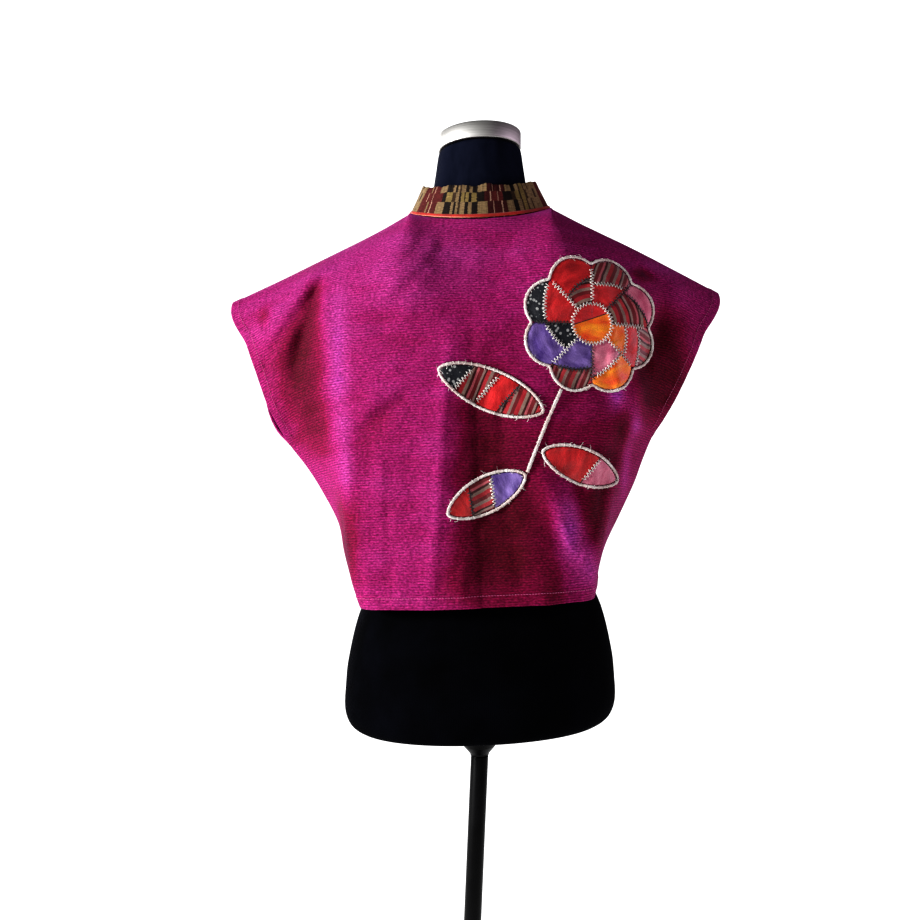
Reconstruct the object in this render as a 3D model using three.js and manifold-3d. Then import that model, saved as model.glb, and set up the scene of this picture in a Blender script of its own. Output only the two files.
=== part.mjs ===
// Cropped kimono shrug in handwoven cotton on a limbless dress form with its floor stand.
// Millimetres, +Z up, -Y at the wearer's back, +X at the wearer's right.
// The origin lies on the floor under the axis of the dress form.
import * as THREE from 'three';
import { mergeVertices } from 'three/addons/utils/BufferGeometryUtils.js';
import Module from 'manifold-3d';

const wasm = await Module();
wasm.setup();

// ---------------------------------------------------------------- driving sizes
const CLOTH = 1.6;             // single cloth
const HEM_CLOTH = 2.8;         // turned and topstitched edge
const SLEEVE_HEM = 13;         // width of the turned sleeve edge
const BOTTOM_HEM = 15;         // width of the turned bottom edge
const SEAM_GAP = 0.3;          // free space between two pieces that are sewn together
const SLANT = 0.04;            // the padded body and the cloth rise toward +X by this much

const NECK_SIDE_X = 87;        // half width of the neckline
const NECK_BACK_Y = -75;       // neckline at the centre back
const NECK_FRONT_Y = 76;       // neckline at the centre front
const NECK_SIDE_Z = 1254.5;    // top of the shoulder seam
const NECK_BACK_Z = 1228.5;
const NECK_FRONT_Z = 1206;
const HEM_Z = 777.5;
const TIP_LEFT_X = 310;        // end of the shoulder line, left and right
const TIP_RIGHT_X = 299;
const TIP_RIGHT_DROP = 17;     // the right sleeve end hangs lower by this much
const UNDERARM_V = 0.48;       // share of the drop at which sleeve hem and side seam meet
const NECK_S = 0.34;           // share of a half row taken by the neckline
const RIDGE_S = 0.6;           // share of a half row at which the cloth turns to the side
const ROLL_SHOULDER = 0.24;    // share of the drop over which the cloth rolls off the shoulder
const ROLL_NECK = 0.36;        // the same at the centre back and centre front
const SPREAD_V = 0.16;         // share of the drop over which a row takes the body's width
const FOLD_START_V = 0.06;     // the folds die out toward the shoulder seam and the sides
const FOLD_END_S = 0.9;
const PANEL_DROP = 455;        // rough lengths along the cloth that place the turned edges
const SLEEVE_RUN = 250;
const FRONT_RUN = 280;
const NECK_DEPTH = 80;         // depth that aims the edge of the panels out of the neckline

const COLLAR_THICK = 2.6;
const COLLAR_BACK_HEIGHT = 42.5;
const COLLAR_SIDE_HEIGHT = 34;
const COLLAR_TOP_X = 70;
const COLLAR_TOP_BACK_Y = -64;
const COLLAR_TOP_FRONT_Y = 68;
const COLLAR_LIFT = 0.4;       // free height between the neckline and the collar
const PIPING_HEIGHT = 4.5;
const PIPING_THICK = 1.3;
const PIPING_LIFT = 0.006;     // share of the collar height left free under the piping

const FORM_BOTTOM_Z = 615;
const FORM_TOP_Z = 1335;
const CAP_RADIUS = 52;
const CAP_HEIGHT = 20;
const POLE_RADIUS = 11;
const POLE_LEAN = 2.45;        // degrees, the foot of the pole toward -X
const FLANGE_HEIGHT = 44;
const BASE_RADIUS = 150;
const BASE_THICK = 9;
const SOCKET_RADIUS = 19;
const SOCKET_FLOOR = 13.2;      // clear of the crown of the base on the leaning side
const SOCKET_HEIGHT = 44;
const BASE_CROWN = 3;          // the base rises this much to its centre
const CHAMFER = 3;

const MOTIF_THICK = 1;         // one patch with its turned edge
const CORD_THICK = 2.6;        // couched cord
const CORD_WIDTH = 3.6;
const CORD_CLEAR = 0.4;        // free space between a patch and its cord
const STEM_WIDTH = 5;
const ROSETTE = { x: 126, z: 1100, core: 23, valley: 67, point: 79, blades: 8 };
const BLADE_STEPS = 6;
const BLADE_ROUND = 0.8;       // under 1 gives each blade a full round end
const BLADE_TRIM = 0.25;       // taken off each long side of a blade
const LEAF_STEPS = 9;
const LEAF_POINT = 1.35;       // over 1 gives the leaves pointed ends
const LEAF_TIP_GROW = 1.4;     // a grown leaf gets this much longer per millimetre of width

// x of the shoulder line against its height, before any droop of the sleeve end
const shoulderLine = [
  { x: 87, z: 1254 }, { x: 120, z: 1236.5 }, { x: 150, z: 1222.5 }, { x: 180, z: 1209.5 },
  { x: 210, z: 1196.5 }, { x: 240, z: 1183.5 }, { x: 275, z: 1169 }, { x: 313, z: 1153.5 },
];

// side column of the cloth: sleeve hem down to the underarm, then side seam down to the hem
const sideRows = [
  { v: 0.00, left: 310, right: 299, back: -34, front: 34, frontOut: 0 },
  { v: 0.06, left: 299, right: 286, back: -38, front: 37, frontOut: 2 },
  { v: 0.12, left: 290, right: 277, back: -42, front: 40, frontOut: 5 },
  { v: 0.24, left: 273, right: 258, back: -46, front: 40, frontOut: 12 },
  { v: 0.36, left: 258, right: 238, back: -40, front: 24, frontOut: 15 },
  { v: 0.43, left: 246, right: 225, back: -28, front: 2, frontOut: 11 },
  { v: 0.48, left: 237, right: 215, back: -16, front: -16, frontOut: 0 },
  { v: 0.56, left: 215, right: 203, back: -12, front: -12, frontOut: 0 },
  { v: 0.64, left: 197, right: 193, back: -8, front: -8, frontOut: 0 },
  { v: 0.75, left: 177, right: 175, back: -4, front: -4, frontOut: 0 },
  { v: 0.85, left: 170, right: 158, back: -2, front: -2, frontOut: 0 },
  { v: 0.93, left: 162, right: 150, back: 0, front: 0, frontOut: 0 },
  { v: 1.00, left: 150, right: 147, back: 0, front: 0, frontOut: 0 },
];

// middle of the cloth: depth at the centre back, turn to the side, chest and centre front edge
const bodyRows = [
  {
    v: 0.00, backY: -112, ridgeLeft: 168, ridgeRight: 166, ridgeY: -86,
    chestX: 168, chestY: 84, frontY: 112, openX: 13,
  },
  {
    v: 0.24, backY: -119, ridgeLeft: 172, ridgeRight: 170, ridgeY: -96,
    chestX: 172, chestY: 96, frontY: 133, openX: 16,
  },
  {
    v: 0.48, backY: -122, ridgeLeft: 166, ridgeRight: 160, ridgeY: -103,
    chestX: 168, chestY: 112, frontY: 144, openX: 22,
  },
  {
    v: 0.75, backY: -126, ridgeLeft: 155, ridgeRight: 144, ridgeY: -105,
    chestX: 156, chestY: 112, frontY: 146, openX: 32,
  },
  {
    v: 0.93, backY: -129, ridgeLeft: 146, ridgeRight: 131, ridgeY: -105,
    chestX: 146, chestY: 109, frontY: 143, openX: 39,
  },
  {
    v: 1.00, backY: -130, ridgeLeft: 138, ridgeRight: 127, ridgeY: -104,
    chestX: 142, chestY: 108, frontY: 142, openX: 42,
  },
];

// largest folds of the back: a line from (x1, z1) to (x2, z2), half width and height outward
const backFolds = [
  { x1: -164, z1: 985, x2: -150, z2: 790, reach: 15, height: 5 },
  { x1: -188, z1: 1180, x2: -262, z2: 1116, reach: 14, height: 6 },
  { x1: -196, z1: 1158, x2: -222, z2: 1060, reach: 15, height: -7 },
  { x1: -38, z1: 1062, x2: -52, z2: 790, reach: 22, height: 4 },
  { x1: 6, z1: 1040, x2: 14, z2: 790, reach: 30, height: -8 },
  { x1: 66, z1: 922, x2: 126, z2: 826, reach: 16, height: 7 },
  { x1: 106, z1: 922, x2: 118, z2: 840, reach: 11, height: -5 },
  { x1: 150, z1: 952, x2: 128, z2: 850, reach: 11, height: -5 },
  { x1: 186, z1: 1024, x2: 176, z2: 960, reach: 14, height: 6 },
  { x1: 214, z1: 1108, x2: 186, z2: 1040, reach: 16, height: -8 },
];

// folds of each front, with x as the distance from the centre
const frontFolds = [
  { x1: 196, z1: 1170, x2: 214, z2: 1062, reach: 16, height: -7 },
  { x1: 160, z1: 1010, x2: 148, z2: 790, reach: 16, height: 5 },
  { x1: 84, z1: 1060, x2: 92, z2: 790, reach: 20, height: 5 },
  { x1: 120, z1: 1000, x2: 124, z2: 800, reach: 14, height: -5 },
];

// ---------------------------------------------------------------- shared shape functions
const clamp = (value, low, high) => Math.min(high, Math.max(low, value));
const mix = (a, b, t) => a + (b - a) * t;

function smoothstep(low, high, value) {
  const t = clamp((value - low) / (high - low), 0, 1);
  return t * t * (3 - 2 * t);
}

// smooth curve through one column of a table, read at the given key
function readTable(rows, keyName, key, name) {
  const last = rows.length - 1;
  const rising = rows[last][keyName] > rows[0][keyName];
  let i = 0;
  while (i < last - 1 && (rising ? key > rows[i + 1][keyName] : key < rows[i + 1][keyName])) {
    i += 1;
  }
  const slope = (k) => {
    const before = rows[Math.max(k - 1, 0)];
    const after = rows[Math.min(k + 1, last)];
    return (after[name] - before[name]) / (after[keyName] - before[keyName]);
  };
  const a = rows[i];
  const b = rows[i + 1];
  const span = b[keyName] - a[keyName];
  const t = clamp((key - a[keyName]) / span, 0, 1);
  const t2 = t * t;
  const t3 = t2 * t;
  return a[name] * (2 * t3 - 3 * t2 + 1) + b[name] * (3 * t2 - 2 * t3)
    + span * (slope(i) * (t3 - 2 * t2 + t) + slope(i + 1) * (t3 - t2));
}

function shoulderHeight(x, side) {
  const reach = Math.abs(x);
  const droop = side > 0 ? TIP_RIGHT_DROP : 0;
  const toTip = clamp((reach - NECK_SIDE_X) / (TIP_RIGHT_X - NECK_SIDE_X), 0, 1);
  return readTable(shoulderLine, 'x', clamp(reach, NECK_SIDE_X, TIP_LEFT_X), 'z')
    - droop * toTip * toTip;
}

// neckline and shoulder line: s runs from the centre (0) to the sleeve end (1)
function topEdge(s, side, facing) {
  const frontFace = facing > 0;
  if (s < NECK_S) {
    const turn = (s / NECK_S) * Math.PI / 2;
    const openX = frontFace ? bodyRows[0].openX : 0;
    const depth = frontFace ? NECK_FRONT_Y : NECK_BACK_Y;
    const low = frontFace ? NECK_FRONT_Z : NECK_BACK_Z;
    const arc = Math.cos(turn);
    return {
      x: side * mix(openX, NECK_SIDE_X, Math.sin(turn)),
      y: depth * arc,
      z: NECK_SIDE_Z + (low - NECK_SIDE_Z) * Math.pow(arc, frontFace ? 1.6 : 1.3),
    };
  }
  const tip = side > 0 ? TIP_RIGHT_X : TIP_LEFT_X;
  const x = mix(NECK_SIDE_X, tip, (s - NECK_S) / (1 - NECK_S));
  return { x: side * x, y: 0, z: shoulderHeight(x, side) };
}

// unsoftened row of the cloth below the shoulder roll
function bodyPoint(s, v, side, facing) {
  const frontFace = facing > 0;
  const body = (name) => readTable(bodyRows, 'v', v, name);
  const seam = (name) => readTable(sideRows, 'v', v, name);
  const startX = frontFace ? body('openX') : 0;
  const startY = body(frontFace ? 'frontY' : 'backY');
  const turnX = body(frontFace ? 'chestX' : (side > 0 ? 'ridgeRight' : 'ridgeLeft'));
  const turnY = body(frontFace ? 'chestY' : 'ridgeY');
  const outX = seam(side > 0 ? 'right' : 'left') + (frontFace && side < 0 ? seam('frontOut') : 0);
  const outY = seam(frontFace && v < UNDERARM_V ? 'front' : 'back');
  if (s < RIDGE_S) {
    const q = s / RIDGE_S;
    return { x: side * mix(startX, turnX, q), y: mix(startY, turnY, q * q) };
  }
  const q = (s - RIDGE_S) / (1 - RIDGE_S);
  return { x: side * mix(turnX, outX, q), y: mix(turnY, outY, q) };
}

// the same row with its corner at the ridge rounded
function softBodyPoint(s, v, side, facing) {
  const reach = Math.min(mix(0.16, 0.09, clamp(v, 0, 1)), 1 - s, facing > 0 ? s : 1);
  const taps = 6;
  let x = 0;
  let y = 0;
  for (let k = 0; k < taps; k += 1) {
    const shifted = s + reach * (2 * (k + 0.5) / taps - 1);
    const mirrored = shifted < 0;
    const p = bodyPoint(Math.abs(shifted), v, mirrored ? -side : side, facing);
    x += p.x / taps;
    y += p.y / taps;
  }
  return { x, y };
}

function foldOffset(x, z, folds) {
  let offset = 0;
  for (const fold of folds) {
    const dx = fold.x2 - fold.x1;
    const dz = fold.z2 - fold.z1;
    const length2 = dx * dx + dz * dz;
    const along = ((x - fold.x1) * dx + (z - fold.z1) * dz) / length2;
    const across = Math.abs((x - fold.x1) * dz - (z - fold.z1) * dx) / Math.sqrt(length2);
    const fade = smoothstep(-0.25, 0.2, along) * (1 - smoothstep(0.8, 1.25, along));
    offset += fold.height * fade * Math.exp(-((across / fold.reach) ** 2));
  }
  return offset;
}

// inner face of the cloth: u is the share of the half row, negative on the left of the back,
// v runs from the top edge to the hem, facing is -1 for the back and 1 for the fronts
function clothPoint(u, v, facing, side) {
  const s = Math.abs(u);
  const top = topEdge(s, side, facing);
  const body = softBodyPoint(s, v, side, facing);
  const spread = smoothstep(0, SPREAD_V, v);
  const neckRoll = Math.sin(clamp(v / ROLL_NECK, 0, 1) * Math.PI / 2);
  const shoulderShare = clamp(v / ROLL_SHOULDER, 0, 1);
  const shoulderRoll = Math.sqrt(1 - (1 - shoulderShare) ** 2);
  const rollShare = facing > 0 ? smoothstep(0.12, 0.5, s) : smoothstep(0, 0.3, s);
  const roll = mix(neckRoll, shoulderRoll, rollShare);
  const x = mix(top.x, body.x, spread);
  const z = mix(top.z, HEM_Z, v);
  const y = mix(top.y, body.y, roll);
  const inPanel = smoothstep(0, FOLD_START_V, v) * (1 - smoothstep(FOLD_END_S, 1, s));
  const folds = facing > 0 ? foldOffset(Math.abs(x), z, frontFolds) : foldOffset(x, z, backFolds);
  return new THREE.Vector3(x, y + facing * (folds * inPanel + SEAM_GAP / 2), z + SLANT * x);
}

function clothNormal(u, v, facing, side) {
  const step = 0.004;
  const u0 = Math.max(u - step, facing > 0 ? 0 : -1);
  const u1 = Math.min(u + step, 1);
  const v0 = Math.max(v - step, 0);
  const v1 = Math.min(v + step, 1);
  const at = (a, b) => clothPoint(a, b, facing, facing > 0 ? side : (a < 0 ? -1 : 1));
  const across = at(u1, v).sub(at(u0, v));
  const down = at(u, v1).sub(at(u, v0));
  const normal = down.cross(across);
  if (facing > 0 && side > 0) {
    normal.negate();
  }
  normal.normalize();
  // at a seam the cloth never leans across to its neighbour
  const onTop = v < step / 4;
  const onSide = Math.abs(u) > 1 - step / 4 && v >= UNDERARM_V - 2 * step;
  const onSeam = onSide || (onTop && Math.abs(u) >= NECK_S);
  if (onSeam && normal.y * facing < 0) {
    normal.y = 0;
    normal.normalize();
  }
  // at the neckline the cloth never leans over the neck opening
  if (onTop && Math.abs(u) < NECK_S) {
    const p = at(u, v);
    const out = new THREE.Vector3(p.x, p.y * NECK_SIDE_X / NECK_DEPTH, 0).normalize();
    const lean = normal.dot(out);
    if (lean < 0) {
      normal.addScaledVector(out, -lean).normalize();
    }
  }
  return normal;
}

function clothThickness(u, v, facing) {
  const s = Math.abs(u);
  const height = PANEL_DROP * (1 - v);
  const sleeveEdge = v < UNDERARM_V ? (1 - s) * SLEEVE_RUN : Infinity;
  const frontEdge = facing > 0 && v > 0 ? s * FRONT_RUN : Infinity;
  const turned = height < BOTTOM_HEM || sleeveEdge < SLEEVE_HEM || frontEdge < SLEEVE_HEM;
  return turned ? HEM_CLOTH : CLOTH;
}

// closed shell from a grid of inner points and matching outer points
function shellGeometry(inner, outer) {
  const rows = inner.length;
  const cols = inner[0].length;
  const positions = [];
  for (const grid of [inner, outer]) {
    for (const row of grid) {
      for (const p of row) {
        positions.push(p.x, p.y, p.z);
      }
    }
  }
  const at = (layer, i, j) => layer * rows * cols + i * cols + j;
  const index = [];
  const quad = (a, b, c, d) => index.push(a, b, c, a, c, d);
  for (let i = 0; i < rows - 1; i += 1) {
    for (let j = 0; j < cols - 1; j += 1) {
      quad(at(1, i, j), at(1, i + 1, j), at(1, i + 1, j + 1), at(1, i, j + 1));
      quad(at(0, i, j), at(0, i, j + 1), at(0, i + 1, j + 1), at(0, i + 1, j));
    }
  }
  for (let j = 0; j < cols - 1; j += 1) {
    quad(at(0, 0, j), at(1, 0, j), at(1, 0, j + 1), at(0, 0, j + 1));
    quad(at(1, rows - 1, j), at(0, rows - 1, j), at(0, rows - 1, j + 1), at(1, rows - 1, j + 1));
  }
  for (let i = 0; i < rows - 1; i += 1) {
    quad(at(0, i, 0), at(0, i + 1, 0), at(1, i + 1, 0), at(1, i, 0));
    quad(at(1, i, cols - 1), at(1, i + 1, cols - 1), at(0, i + 1, cols - 1), at(0, i, cols - 1));
  }
  const geometry = new THREE.BufferGeometry();
  geometry.setAttribute('position', new THREE.Float32BufferAttribute(positions, 3));
  geometry.setIndex(index);
  return geometry;
}

// shares of a range, closer together near the listed places
function spacedShares(count, focus) {
  const density = (t) => {
    let d = 1;
    for (const f of focus) {
      d += f.weight * Math.exp(-(((t - f.at) / f.reach) ** 2));
    }
    return d;
  };
  const samples = 400;
  const sums = [0];
  for (let k = 0; k < samples; k += 1) {
    sums.push(sums[k] + density((k + 0.5) / samples));
  }
  const shares = [];
  let k = 0;
  for (let i = 0; i <= count; i += 1) {
    const target = sums[samples] * i / count;
    while (k < samples - 1 && sums[k + 1] < target) {
      k += 1;
    }
    shares.push((k + (target - sums[k]) / (sums[k + 1] - sums[k])) / samples);
  }
  shares[0] = 0;
  shares[count] = 1;
  return shares;
}

function addMesh(group, name, geometry, material) {
  geometry.computeVertexNormals();
  const mesh = new THREE.Mesh(geometry, material);
  mesh.name = name;
  group.add(mesh);
  return mesh;
}

const cloth = (color) => new THREE.MeshStandardMaterial({ color, roughness: 0.85, metalness: 0 });
const group = new THREE.Group();

// ---------------------------------------------------------------- cloth panels
const downShares = spacedShares(24, [
  { at: 0, reach: 0.05, weight: 2.6 },
  { at: 0.15, reach: 0.1, weight: 1 },
  { at: 1, reach: 0.03, weight: 1.5 },
]);
const NECK_COLUMNS = 6;
const HALF_COLUMNS = 17;
const neckShares = spacedShares(NECK_COLUMNS, []).map((t) => t * NECK_S);
const restShares = spacedShares(HALF_COLUMNS - NECK_COLUMNS, [
  { at: 0.38, reach: 0.14, weight: 1.1 },
  { at: 1, reach: 0.04, weight: 1.6 },
]).map((t) => mix(NECK_S, 1, t));
const halfShares = [...neckShares.slice(0, -1), ...restShares];
const backShares = [...halfShares.slice(1).reverse().map((s) => -s), ...halfShares];

function panelGeometry(uShares, facing, frontSide) {
  const inner = [];
  const outer = [];
  for (const v of downShares) {
    const innerRow = [];
    const outerRow = [];
    for (const u of uShares) {
      const side = frontSide ?? (u < 0 ? -1 : 1);
      const p = clothPoint(u, v, facing, side);
      const n = clothNormal(u, v, facing, side);
      innerRow.push(p);
      outerRow.push(p.clone().addScaledVector(n, clothThickness(u, v, facing)));
    }
    inner.push(innerRow);
    outer.push(outerRow);
  }
  return { inner, outer, geometry: shellGeometry(inner, outer) };
}

const back = panelGeometry(backShares, -1);
addMesh(group, 'back_panel', back.geometry, cloth(0x9c1560));

const outward = [...halfShares].reverse();
addMesh(group, 'front_left', panelGeometry(halfShares, 1, -1).geometry, cloth(0x9c1560));
addMesh(group, 'front_right', panelGeometry(outward, 1, 1).geometry, cloth(0x8e1668));

// ---------------------------------------------------------------- applique on the back
// sprig below the rosette: leaves from base (x1, z1) to tip (x2, z2) with their full width
const leaves = [
  { x1: 66, z1: 1000, x2: -46, z2: 1046, width: 42 },
  { x1: 71, z1: 953, x2: 156, z2: 921, width: 36 },
  { x1: 46, z1: 926, x2: -36, z2: 884, width: 36 },
];
const stemLine = [[92, 1030], [77, 996], [63, 962], [53, 936], [48, 922]];

function toManifold(geometry) {
  const bare = geometry.clone();
  bare.deleteAttribute('normal');
  bare.deleteAttribute('uv');
  const merged = mergeVertices(bare, 1e-4);
  return new wasm.Manifold(new wasm.Mesh({
    numProp: 3,
    vertProperties: Float32Array.from(merged.attributes.position.array),
    triVerts: Uint32Array.from(merged.index.array),
  }));
}

function fromManifold(solid) {
  const mesh = solid.getMesh();
  const geometry = new THREE.BufferGeometry();
  geometry.setAttribute('position', new THREE.BufferAttribute(mesh.vertProperties, 3));
  geometry.setIndex(new THREE.BufferAttribute(mesh.triVerts, 1));
  return geometry;
}

// layer of the given thickness that lies on the outside of the back panel
function layerOnBack(thickness) {
  const low = [];
  const high = [];
  back.outer.forEach((row, i) => {
    const move = (amount) => row.map((p, j) => {
      const n = p.clone().sub(back.inner[i][j]).normalize();
      return p.clone().addScaledVector(n, amount);
    });
    low.push(move(SEAM_GAP));
    high.push(move(SEAM_GAP + thickness));
  });
  return toManifold(shellGeometry(low, high));
}

// prism through the back with an outline given in x and z
function outlinePrism(outline) {
  const shape = new THREE.Shape(outline.map(([x, z]) => new THREE.Vector2(x, z)));
  const nearY = -10;
  const farY = -200;
  const prism = new THREE.ExtrudeGeometry(shape, { depth: nearY - farY, bevelEnabled: false });
  prism.rotateX(Math.PI / 2);
  prism.translate(0, nearY, 0);
  return toManifold(prism);
}

function rosetteOutline(grow) {
  const points = [];
  const steps = ROSETTE.blades * BLADE_STEPS;
  for (let k = 0; k < steps; k += 1) {
    const angle = 2 * Math.PI * k / steps;
    const inBlade = (k % BLADE_STEPS) / BLADE_STEPS;
    const arch = Math.pow(Math.sin(Math.PI * inBlade), BLADE_ROUND);
    const radius = mix(ROSETTE.valley, ROSETTE.point, arch) + grow;
    points.push([ROSETTE.x + radius * Math.sin(angle), ROSETTE.z + radius * Math.cos(angle)]);
  }
  return points;
}

function bladeOutline(number) {
  const width = 2 * Math.PI / ROSETTE.blades;
  const inner = ROSETTE.core + CORD_CLEAR;
  const points = [];
  for (let k = 0; k <= BLADE_STEPS; k += 1) {
    const share = k / BLADE_STEPS;
    const arch = Math.pow(Math.sin(Math.PI * share), BLADE_ROUND);
    const radius = mix(ROSETTE.valley, ROSETTE.point, arch);
    const trim = BLADE_TRIM / radius;
    const angle = width * number + mix(trim, width - trim, share);
    points.push([ROSETTE.x + radius * Math.sin(angle), ROSETTE.z + radius * Math.cos(angle)]);
  }
  const innerSteps = 3;
  for (let k = innerSteps; k >= 0; k -= 1) {
    const trim = BLADE_TRIM / inner;
    const angle = width * number + mix(trim, width - trim, k / innerSteps);
    points.push([ROSETTE.x + inner * Math.sin(angle), ROSETTE.z + inner * Math.cos(angle)]);
  }
  return points;
}

function circleOutline(radius, steps) {
  return Array.from({ length: steps }, (_, k) => {
    const angle = 2 * Math.PI * k / steps;
    return [ROSETTE.x + radius * Math.sin(angle), ROSETTE.z + radius * Math.cos(angle)];
  });
}

// pointed oval, grown on all sides
function leafOutline(leaf, grow) {
  const dx = leaf.x2 - leaf.x1;
  const dz = leaf.z2 - leaf.z1;
  const length = Math.hypot(dx, dz);
  const points = [];
  const half = leaf.width / 2 + grow;
  const reach = length / 2 + grow * LEAF_TIP_GROW;
  for (let k = 0; k < 2 * LEAF_STEPS; k += 1) {
    const angle = Math.PI * k / LEAF_STEPS;
    const along = -Math.cos(angle) * reach;
    const bulge = Math.pow(Math.abs(Math.sin(angle)), LEAF_POINT);
    const across = Math.sign(Math.sin(angle)) * half * bulge;
    const midX = (leaf.x1 + leaf.x2) / 2;
    const midZ = (leaf.z1 + leaf.z2) / 2;
    points.push([
      midX + (along * dx - across * dz) / length,
      midZ + (along * dz + across * dx) / length,
    ]);
  }
  return points;
}

function bandOutline(line, halfWidth) {
  const curve = new THREE.SplineCurve(line.map(([x, z]) => new THREE.Vector2(x, z)));
  const left = [];
  const right = [];
  const steps = 14;
  for (let k = 0; k <= steps; k += 1) {
    const p = curve.getPoint(k / steps);
    const t = curve.getTangent(k / steps);
    left.push([p.x - t.y * halfWidth, p.y + t.x * halfWidth]);
    right.unshift([p.x + t.y * halfWidth, p.y - t.x * halfWidth]);
  }
  return [...left, ...right];
}

const patchLayer = layerOnBack(MOTIF_THICK);
const cordLayer = layerOnBack(CORD_THICK);
const patchColors = [0xa32a2a, 0x6f3a3c, 0xd8401c, 0xb0486a, 0x6a4a9a, 0x7a2f38, 0xc02a3c, 0x8a5058];

for (let k = 0; k < ROSETTE.blades; k += 1) {
  addMesh(group, `rosette_blade_${k + 1}`,
    fromManifold(patchLayer.intersect(outlinePrism(bladeOutline(k)))), cloth(patchColors[k]));
}
addMesh(group, 'rosette_centre',
  fromManifold(patchLayer.intersect(outlinePrism(circleOutline(ROSETTE.core, 20)))), cloth(0xe88a20));

// cord of its full width around an outline that grows
function cordAround(outline) {
  const outerEdge = outlinePrism(outline(CORD_CLEAR + CORD_WIDTH));
  const innerEdge = outlinePrism(outline(CORD_CLEAR));
  return fromManifold(cordLayer.intersect(outerEdge.subtract(innerEdge)));
}

const cordColor = 0xddd6cc;
addMesh(group, 'rosette_cord', cordAround(rosetteOutline), cloth(cordColor));
leaves.forEach((leaf, k) => {
  addMesh(group, `leaf_${k + 1}`,
    fromManifold(patchLayer.intersect(outlinePrism(leafOutline(leaf, 0)))), cloth(patchColors[k + 3]));
  addMesh(group, `leaf_${k + 1}_cord`, cordAround((grow) => leafOutline(leaf, grow)), cloth(cordColor));
});

// the stem stops clear of the cords that it meets
const cordReach = 2 * CORD_CLEAR + CORD_WIDTH;
let stem = outlinePrism(bandOutline(stemLine, STEM_WIDTH / 2));
stem = stem.subtract(outlinePrism(rosetteOutline(cordReach)));
for (const leaf of leaves) {
  stem = stem.subtract(outlinePrism(leafOutline(leaf, cordReach)));
}
addMesh(group, 'stem_cord', fromManifold(cordLayer.intersect(stem)), cloth(cordColor));

// ---------------------------------------------------------------- collar and its piping
// ring position: turn 0 at the centre back, +-1 at the centre front edges
function neckRing(turn) {
  const side = turn < 0 ? -1 : 1;
  const t = Math.abs(turn) * 2;
  if (t <= 1) {
    return topEdge(t * NECK_S, side, -1);
  }
  return topEdge((2 - t) * NECK_S, side, 1);
}

function collarPoint(turn, up, outward) {
  const base = neckRing(turn);
  const angle = Math.atan2(base.x / NECK_SIDE_X, -base.y / -NECK_BACK_Y);
  const frontShare = Math.abs(angle) / Math.PI;
  const height = mix(COLLAR_BACK_HEIGHT, COLLAR_SIDE_HEIGHT, smoothstep(0, 0.5, frontShare));
  const topShare = base.y < 0 ? COLLAR_TOP_BACK_Y / NECK_BACK_Y : COLLAR_TOP_FRONT_Y / NECK_FRONT_Y;
  const leanIn = mix(1, COLLAR_TOP_X / NECK_SIDE_X, up);
  const radial = new THREE.Vector3(
    base.x / NECK_SIDE_X ** 2,
    base.y / COLLAR_TOP_FRONT_Y ** 2,
    0,
  ).normalize();
  const x = base.x * leanIn + radial.x * outward;
  const y = base.y * mix(1, topShare, up) + radial.y * outward;
  const z = base.z + HEM_CLOTH / 2 + SEAM_GAP + COLLAR_LIFT + height * up;
  return new THREE.Vector3(x, y, z + SLANT * x);
}

function collarGeometry(rows, turns, innerOffset, thickness) {
  const inner = rows.map((up) => turns.map((t) => collarPoint(t, up, innerOffset)));
  const outer = rows.map((up) => turns.map((t) => collarPoint(t, up, innerOffset + thickness)));
  return shellGeometry(inner, outer);
}

const RING_STEPS = 4 * NECK_COLUMNS;
const ringTurns = Array.from({ length: RING_STEPS + 1 }, (_, k) => -1 + 2 * k / RING_STEPS);
const collarRows = [1, 0.66, 0.33, 0];
addMesh(group, 'collar_band', collarGeometry(collarRows, ringTurns, -COLLAR_THICK / 2, COLLAR_THICK),
  cloth(0x9a8458));
const pipingRows = [PIPING_HEIGHT / COLLAR_BACK_HEIGHT, PIPING_LIFT];
addMesh(group, 'neck_piping',
  collarGeometry(pipingRows, ringTurns, COLLAR_THICK / 2 + SEAM_GAP, PIPING_THICK),
  cloth(0xd8401c));

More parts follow.
